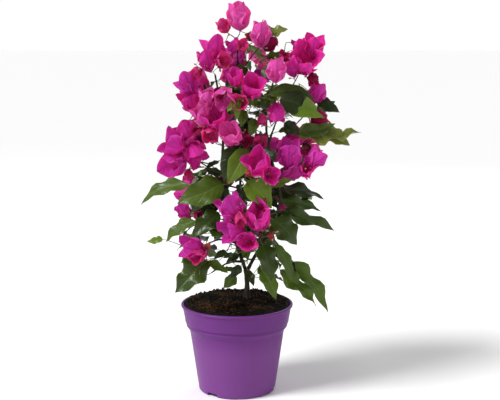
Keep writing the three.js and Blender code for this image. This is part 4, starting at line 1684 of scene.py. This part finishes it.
def draw_up(profile: Sequence[Pair], sides: int, name: str) -> bpy.types.Object:
    """Models a round piece: a ring that is extruded and resized from point to point of its profile.

    Args:
        profile: radius and height of each ring, from one end of the wall to the other.
        sides: how many sides a ring has.
        name: the piece's name.

    Returns:
        The piece, with its two end rings filled and its place in its mesh.
    """
    bpy.ops.object.select_all(action="DESELECT")
    radius, height = profile[0]
    bpy.ops.mesh.primitive_circle_add(vertices=sides, radius=radius, location=(0, 0, height))
    piece = bpy.context.active_object
    piece.name = name
    bpy.ops.object.mode_set(mode="EDIT")
    bpy.ops.mesh.select_all(action="SELECT")
    for next_radius, next_height in profile[1:]:
        rise = (0, 0, next_height - height)
        bpy.ops.mesh.extrude_region_move(TRANSFORM_OT_translate={"value": rise})
        share = next_radius / radius
        bpy.ops.transform.resize(value=(share, share, 1), center_override=(0, 0, next_height))
        radius, height = next_radius, next_height
    bpy.ops.mesh.edge_face_add()
    bpy.ops.mesh.select_all(action="DESELECT")
    bpy.ops.object.mode_set(mode="OBJECT")
    for corner in list(piece.data.vertices)[:sides]:
        corner.select = True
    bpy.ops.object.mode_set(mode="EDIT")
    bpy.ops.mesh.select_mode(type="VERT")
    bpy.ops.mesh.edge_face_add()
    bpy.ops.mesh.select_all(action="SELECT")
    bpy.ops.mesh.normals_make_consistent(inside=False)
    bpy.ops.object.mode_set(mode="OBJECT")
    bpy.ops.object.transform_apply(location=True, rotation=True, scale=True)
    return piece


@dataclass
class Pot:
    """Round nursery pot with a lip, a collar, a tucked shoulder and channels under its floor."""

    sides: int = 168
    collar_top: float = 0.9700
    collar_foot: float = 0.9235
    tuck: float = 0.9047
    body_top: float = 0.8412
    foot: float = 0.6894
    collar_height: float = 0.791
    shoulder_height: float = 0.709
    ledge: float = 0.0014
    lip: float = 0.0022
    foot_round: float = 0.003
    wall: float = 0.0016
    floor: float = 0.0071
    channels: int = 3
    channel_turn: float = -10.0
    channel_width: float = 0.018
    channel_height: float = 0.0055
    channel_start: float = 0.020
    hole_radius: float = 0.0032
    holes: Pair = (0.031, 0.046)

    def __post_init__(self) -> None:
        """Takes the rim's radius and height from the frame."""
        _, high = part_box("pot")
        self.rim, self.height = high.x, high.z

    def outside(self) -> list[Pair]:
        """Outer wall from the underside to the top of the lip."""
        rim, top = self.rim, self.height
        foot, collar = rim * self.foot, top * self.collar_height
        shoulder = top * self.shoulder_height
        bead = (rim - self.lip, top - self.lip)
        return [
            (rim * 0.1, 0.0),
            (rim * 0.4, 0.0),
            *arc((foot - self.foot_round, self.foot_round), self.foot_round, -90, 0, 6),
            (foot + (rim * self.body_top - foot) * 0.5, shoulder * 0.5),
            (rim * self.body_top - 0.0002, shoulder - 0.005),
            (rim * self.body_top + 0.0006, shoulder - 0.0016),
            (rim * self.body_top + 0.0024, shoulder + 0.0014),
            (rim * self.tuck, (shoulder + collar) / 2),
            (rim * self.collar_foot - 0.0022, collar - 0.0014),
            (rim * self.collar_foot - self.ledge, collar - 0.0004),
            (rim * self.collar_foot - 0.0002, collar - 0.0002),
            (rim * self.collar_foot + 0.0001, collar + 0.0003),
            (rim * self.collar_foot + 0.0004, collar + 0.003),
            (rim * self.collar_top - 0.0002, top - 2 * self.lip - 0.002),
            (rim * self.collar_top + 0.0002, top - 2 * self.lip - 0.0004),
            *arc(bead, self.lip, -50, 90, 8),
            *arc((rim * self.collar_top - self.wall + 0.0012, top - 0.0012), 0.0012, 90, 180, 4),
        ]

    def inside(self) -> list[Pair]:
        """Inner wall from the rim down to the floor."""
        rim, top = self.rim, self.height
        return [
            (rim * self.collar_foot - self.wall, top * self.collar_height + self.wall),
            (rim * self.body_top - self.wall, top * self.shoulder_height + self.wall),
            (rim * self.foot - self.wall, self.floor),
            (rim * 0.1, self.floor),
        ]

    def _cut(self, pot: bpy.types.Object, cutter: bpy.types.Object) -> None:
        """Takes one solid out of the pot."""
        cut = pot.modifiers.new("cut", "BOOLEAN")
        cut.object = cutter
        cut.operation = "DIFFERENCE"
        cut.solver = "EXACT"
        bpy.ops.object.select_all(action="DESELECT")
        pot.select_set(True)
        bpy.context.view_layer.objects.active = pot
        bpy.ops.object.modifier_apply(modifier=cut.name)
        bpy.data.objects.remove(cutter)

    def _channel(self, degrees: float) -> bpy.types.Object:
        """A channel's cutter, rounded along its roof."""
        length = self.rim - self.channel_start
        middle = self.channel_start + length / 2
        turn = math.radians(degrees)
        bpy.ops.object.select_all(action="DESELECT")
        bpy.ops.mesh.primitive_cube_add(
            size=1,
            location=(middle * math.cos(turn), middle * math.sin(turn), 0),
            rotation=(0, 0, turn),
            scale=(length, self.channel_width, 2 * self.channel_height),
        )
        bpy.ops.object.mode_set(mode="EDIT")
        bpy.ops.mesh.select_all(action="SELECT")
        bpy.ops.mesh.bevel(offset=0.0012, segments=3)
        bpy.ops.object.mode_set(mode="OBJECT")
        bpy.ops.object.transform_apply(location=True, rotation=True, scale=True)
        return bpy.context.active_object

    def _hole(self, degrees: float, out: float) -> bpy.types.Object:
        """A drain hole's cutter."""
        turn = math.radians(degrees)
        bpy.ops.object.select_all(action="DESELECT")
        bpy.ops.mesh.primitive_cylinder_add(
            vertices=20,
            radius=self.hole_radius,
            depth=2 * self.floor,
            location=(out * math.cos(turn), out * math.sin(turn), self.floor),
        )
        bpy.ops.object.transform_apply(location=True, rotation=True, scale=True)
        return bpy.context.active_object

    def build(self) -> bpy.types.Object:
        """Makes the pot.

        Returns:
            The piece.
        """
        pot = draw_up(self.outside() + self.inside(), self.sides, "nursery_pot")
        for number in range(self.channels):
            degrees = self.channel_turn + 360 * number / self.channels
            self._cut(pot, self._channel(degrees))
            for out in self.holes:
                self._cut(pot, self._hole(degrees, out))
        bpy.ops.object.shade_smooth_by_angle(angle=math.radians(28))
        return settle(pot, PotFinish().make(), ["pot"])


@dataclass
class Compost:
    """Mounded compost with crumbs, and coarse fibres that have dried brown."""

    pot: Pot
    rings: int = 62
    sides: int = 200
    edge_drop: float = 0.0026
    mound: float = 0.0056
    bank: float = 0.19
    lump: float = 0.0028
    grit: float = 0.0023
    swell_scale: float = 45
    grit_scales: Pair = (190, 420)
    gap: float = 0.0004
    crumbs: int = 3000
    crumb_size: Pair = (0.0007, 0.0026)
    fibres: int = 420
    fibre_length: Pair = (0.002, 0.0075)
    fibre_radius: Pair = (0.00015, 0.0004)
    margin: float = 0.006
    patch: Pair = (-0.034, -0.050)
    patch_reach: Pair = (0.026, 0.016)

    def __post_init__(self) -> None:
        """Notes how far from the pot's axis the crumbs may lie."""
        self.reach = self.pot.rim * self.pot.collar_top - self.margin

    def _noise(self, side: float, depth: float, scale: float, layer: float) -> float:
        """Smooth noise over the surface, at one scale and in a layer of its own."""
        return noise.noise(Vector((side * scale, depth * scale, layer)))

    def level(self, side: float, depth: float) -> float:
        """Height of the surface at a place.

        Args:
            side: place along +X.
            depth: place along +Y.

        Returns:
            The height.
        """
        edge = self.pot.rim * self.pot.collar_top
        rise = max(0.0, 1 - (side**2 + depth**2) / edge**2)
        calm = min(1.0, rise / 0.25)
        swell = self._noise(side, depth, self.swell_scale, 3.0)
        coarse, fine = self.grit_scales
        grit = self._noise(side, depth, coarse, 7.0) + 0.6 * self._noise(side, depth, fine, 1.0)
        top = self.pot.height - self.edge_drop + self.mound * min(1.0, rise / self.bank)
        return top + calm * self.lump * swell + (0.3 + 0.7 * calm) * self.grit * grit - 0.0003

    def _body(self, pot: Pot) -> bpy.types.Object:
        """The compost itself, filling the pot up to its uneven surface."""
        shrink = pot.wall + self.gap
        edge = pot.rim * pot.collar_top - shrink
        walls = [
            (pot.rim * 0.1, pot.floor + self.gap),
            (pot.rim * pot.foot - shrink, pot.floor + self.gap),
            (pot.rim * pot.body_top - shrink, pot.height * pot.shoulder_height + pot.wall),
            (pot.rim * pot.collar_foot - shrink, pot.height * pot.collar_height + pot.wall),
        ]
        level = pot.height - self.edge_drop
        top = [(edge * (1 - ring / self.rings), level) for ring in range(self.rings)]
        body = draw_up(walls + top, self.sides, "compost")
        for corner in body.data.vertices:
            if corner.co.z > level - 0.0005:
                corner.co.z = self.level(corner.co.x, corner.co.y)
        for face in body.data.polygons:
            face.use_smooth = True
        return body

    def _anywhere(self, grain: np.random.Generator) -> Pair:
        """A seeded place on the surface, along +X and +Y."""
        out, turn = self.reach * math.sqrt(grain.random()), grain.uniform(0, 2 * math.pi)
        return out * math.cos(turn), out * math.sin(turn)

    def _add_fibre(self, fibres: Pile, side: float, depth: float, grain: np.random.Generator) -> None:
        """Lays one bent fibre on the surface."""
        start = np.array((side, depth, self.level(side, depth)))
        run = unit(np.append(grain.normal(size=2), grain.uniform(-0.1, 0.5)))
        length = grain.uniform(*self.fibre_length)
        bend = grain.normal(0, 0.2, 3) * length
        share = np.linspace(0, 1, 4)[:, None]
        line = start + run * length * share + bend * share * (1 - share) + UP * 0.0004
        fibres.add_tube(line, np.full(4, grain.uniform(*self.fibre_radius)), 4)

    def build(self) -> None:
        """Makes the compost, its crumbs and its fibres."""
        grain = np.random.default_rng(SEED + 1)
        # Partly painted shade: these compost colours are the compost's own, darkened further to stand for
        # the crown's shade on it.
        wet_and_shade = CompostFinish("compost_wet", (0.0036, 0.0028, 0.0020), (0.034, 0.020, 0.011))
        dark = CompostFinish("compost_crumb", (0.0070, 0.0050, 0.0035), (0.100, 0.056, 0.029))
        brown = CompostFinish("compost_fibre", (0.120, 0.045, 0.014), (0.300, 0.130, 0.045))
        settle(self._body(self.pot), wet_and_shade.make(), ["soil"])
        crumbs = Pile("compost_crumbs", "soil", dark.make())
        fibres = Pile("compost_fibres", "soil", brown.make())
        for _ in range(self.crumbs):
            side, depth = self._anywhere(grain)
            size = self.crumb_size[0] + self.crumb_size[1] * grain.random() ** 3
            crumbs.add_lump(np.array((side, depth, self.level(side, depth) + size * 0.3)), size, grain)
        for number in range(self.fibres):
            patched = number % 3 > 0
            side, depth = grain.normal(self.patch, self.patch_reach) if patched else self._anywhere(grain)
            if math.hypot(side, depth) <= self.reach - 0.004:
                self._add_fibre(fibres, side, depth, grain)
        crumbs.build()
        fibres.build()


# ---------------------------------------------------------------- studio


@dataclass(frozen=True)
class Lamp:
    """A soft square lamp that looks at the crown."""

    name: str
    place: Place
    power: float
    size: float


@dataclass
class Studio:
    """Plain pale floor and room, soft light from the front left, two faint lamps, and the camera."""

    eye: Eye
    floor_reach: float = 60.0
    wall_glow: float = 1.01
    wall_end: float = 0.07
    ceiling_glow: float = 0.28
    ceiling_start: float = 0.30
    key_strength: float = 3.5
    key_softness: float = 24.0
    key_heading: Pair = (-152, 44)
    lamps: tuple[Lamp, ...] = (
        Lamp("fill", (1.8, -0.7, 0.9), 6.0, 1.4),
        Lamp("back", (0.8, 1.7, 1.6), 15.0, 1.2),
    )
    lit: Place = (0, 0, 0.28)

    def _hang(self, light: bpy.types.Light, place: Place, aim: Vector) -> None:
        """Hangs a light at a place, looking along an aim."""
        holder = bpy.data.objects.new(light.name, light)
        holder.location = place
        holder.rotation_euler = aim.to_track_quat("-Z", "Y").to_euler()
        bpy.context.scene.collection.objects.link(holder)

    def _lights(self) -> None:
        """Adds the wide soft main light and the lamps."""
        sun = bpy.data.lights.new("key", "SUN")
        sun.energy = self.key_strength
        sun.angle = math.radians(self.key_softness)
        self._hang(sun, (0, 0, 0), -Vector(heading(*self.key_heading)))
        for lamp in self.lamps:
            light = bpy.data.lights.new(lamp.name, "AREA")
            light.energy = lamp.power
            light.size = lamp.size
            self._hang(light, lamp.place, Vector(self.lit) - Vector(lamp.place))

    def _glow(self) -> None:
        """Makes the room: pale walls all round and a dimmer ceiling."""
        room = Finish("studio_room", world=True)
        way = room.wire("ShaderNodeTexCoord", {}, {}, "Generated")
        sockets = {
            "Value": room.wire("ShaderNodeSeparateXYZ", {}, {0: way}, 2),
            "From Min": self.wall_end,
            "From Max": self.ceiling_start,
            "To Min": self.wall_glow,
            "To Max": self.ceiling_glow,
        }
        strength = room.wire("ShaderNodeMapRange", {}, sockets)
        light = room.wire("ShaderNodeBackground", {}, {"Color": WHITE, "Strength": strength})
        room.node("ShaderNodeOutputWorld", {}, {"Surface": light})
        bpy.context.scene.world = room.holder

    def build(self) -> None:
        """Makes the floor, lights, room and camera."""
        bpy.ops.object.select_all(action="DESELECT")
        bpy.ops.mesh.primitive_plane_add(size=2 * self.floor_reach, location=(0, 0, -0.0002))
        floor = bpy.context.active_object
        floor.name = "floor"
        floor.data.materials.append(FloorFinish().make())
        self._lights()
        self._glow()
        bpy.context.scene.view_settings.view_transform = "Standard"
        camera = bpy.data.cameras.new("camera")
        camera.lens = self.eye.lens
        camera.sensor_width = 36.0
        camera.clip_end = 200.0
        holder = bpy.data.objects.new("camera", camera)
        holder.location = self.eye.place
        holder.rotation_euler = (math.radians(90 - self.eye.down), 0, -math.radians(self.eye.right))
        bpy.context.scene.collection.objects.link(holder)
        bpy.context.scene.camera = holder


def write_size() -> None:
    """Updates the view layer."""
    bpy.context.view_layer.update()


def main() -> None:
    """Builds the bush in order."""
    logging.basicConfig(level=logging.INFO, format="%(name)s: %(message)s")
    eye = Eye()
    Studio(eye).build()
    pot = Pot()
    pot.build()
    Compost(pot).build()
    wood = Wood()
    wood.read()
    wood.build()
    Crown(wood, eye).build()
    write_size()


if __name__ == "__main__":
    main()
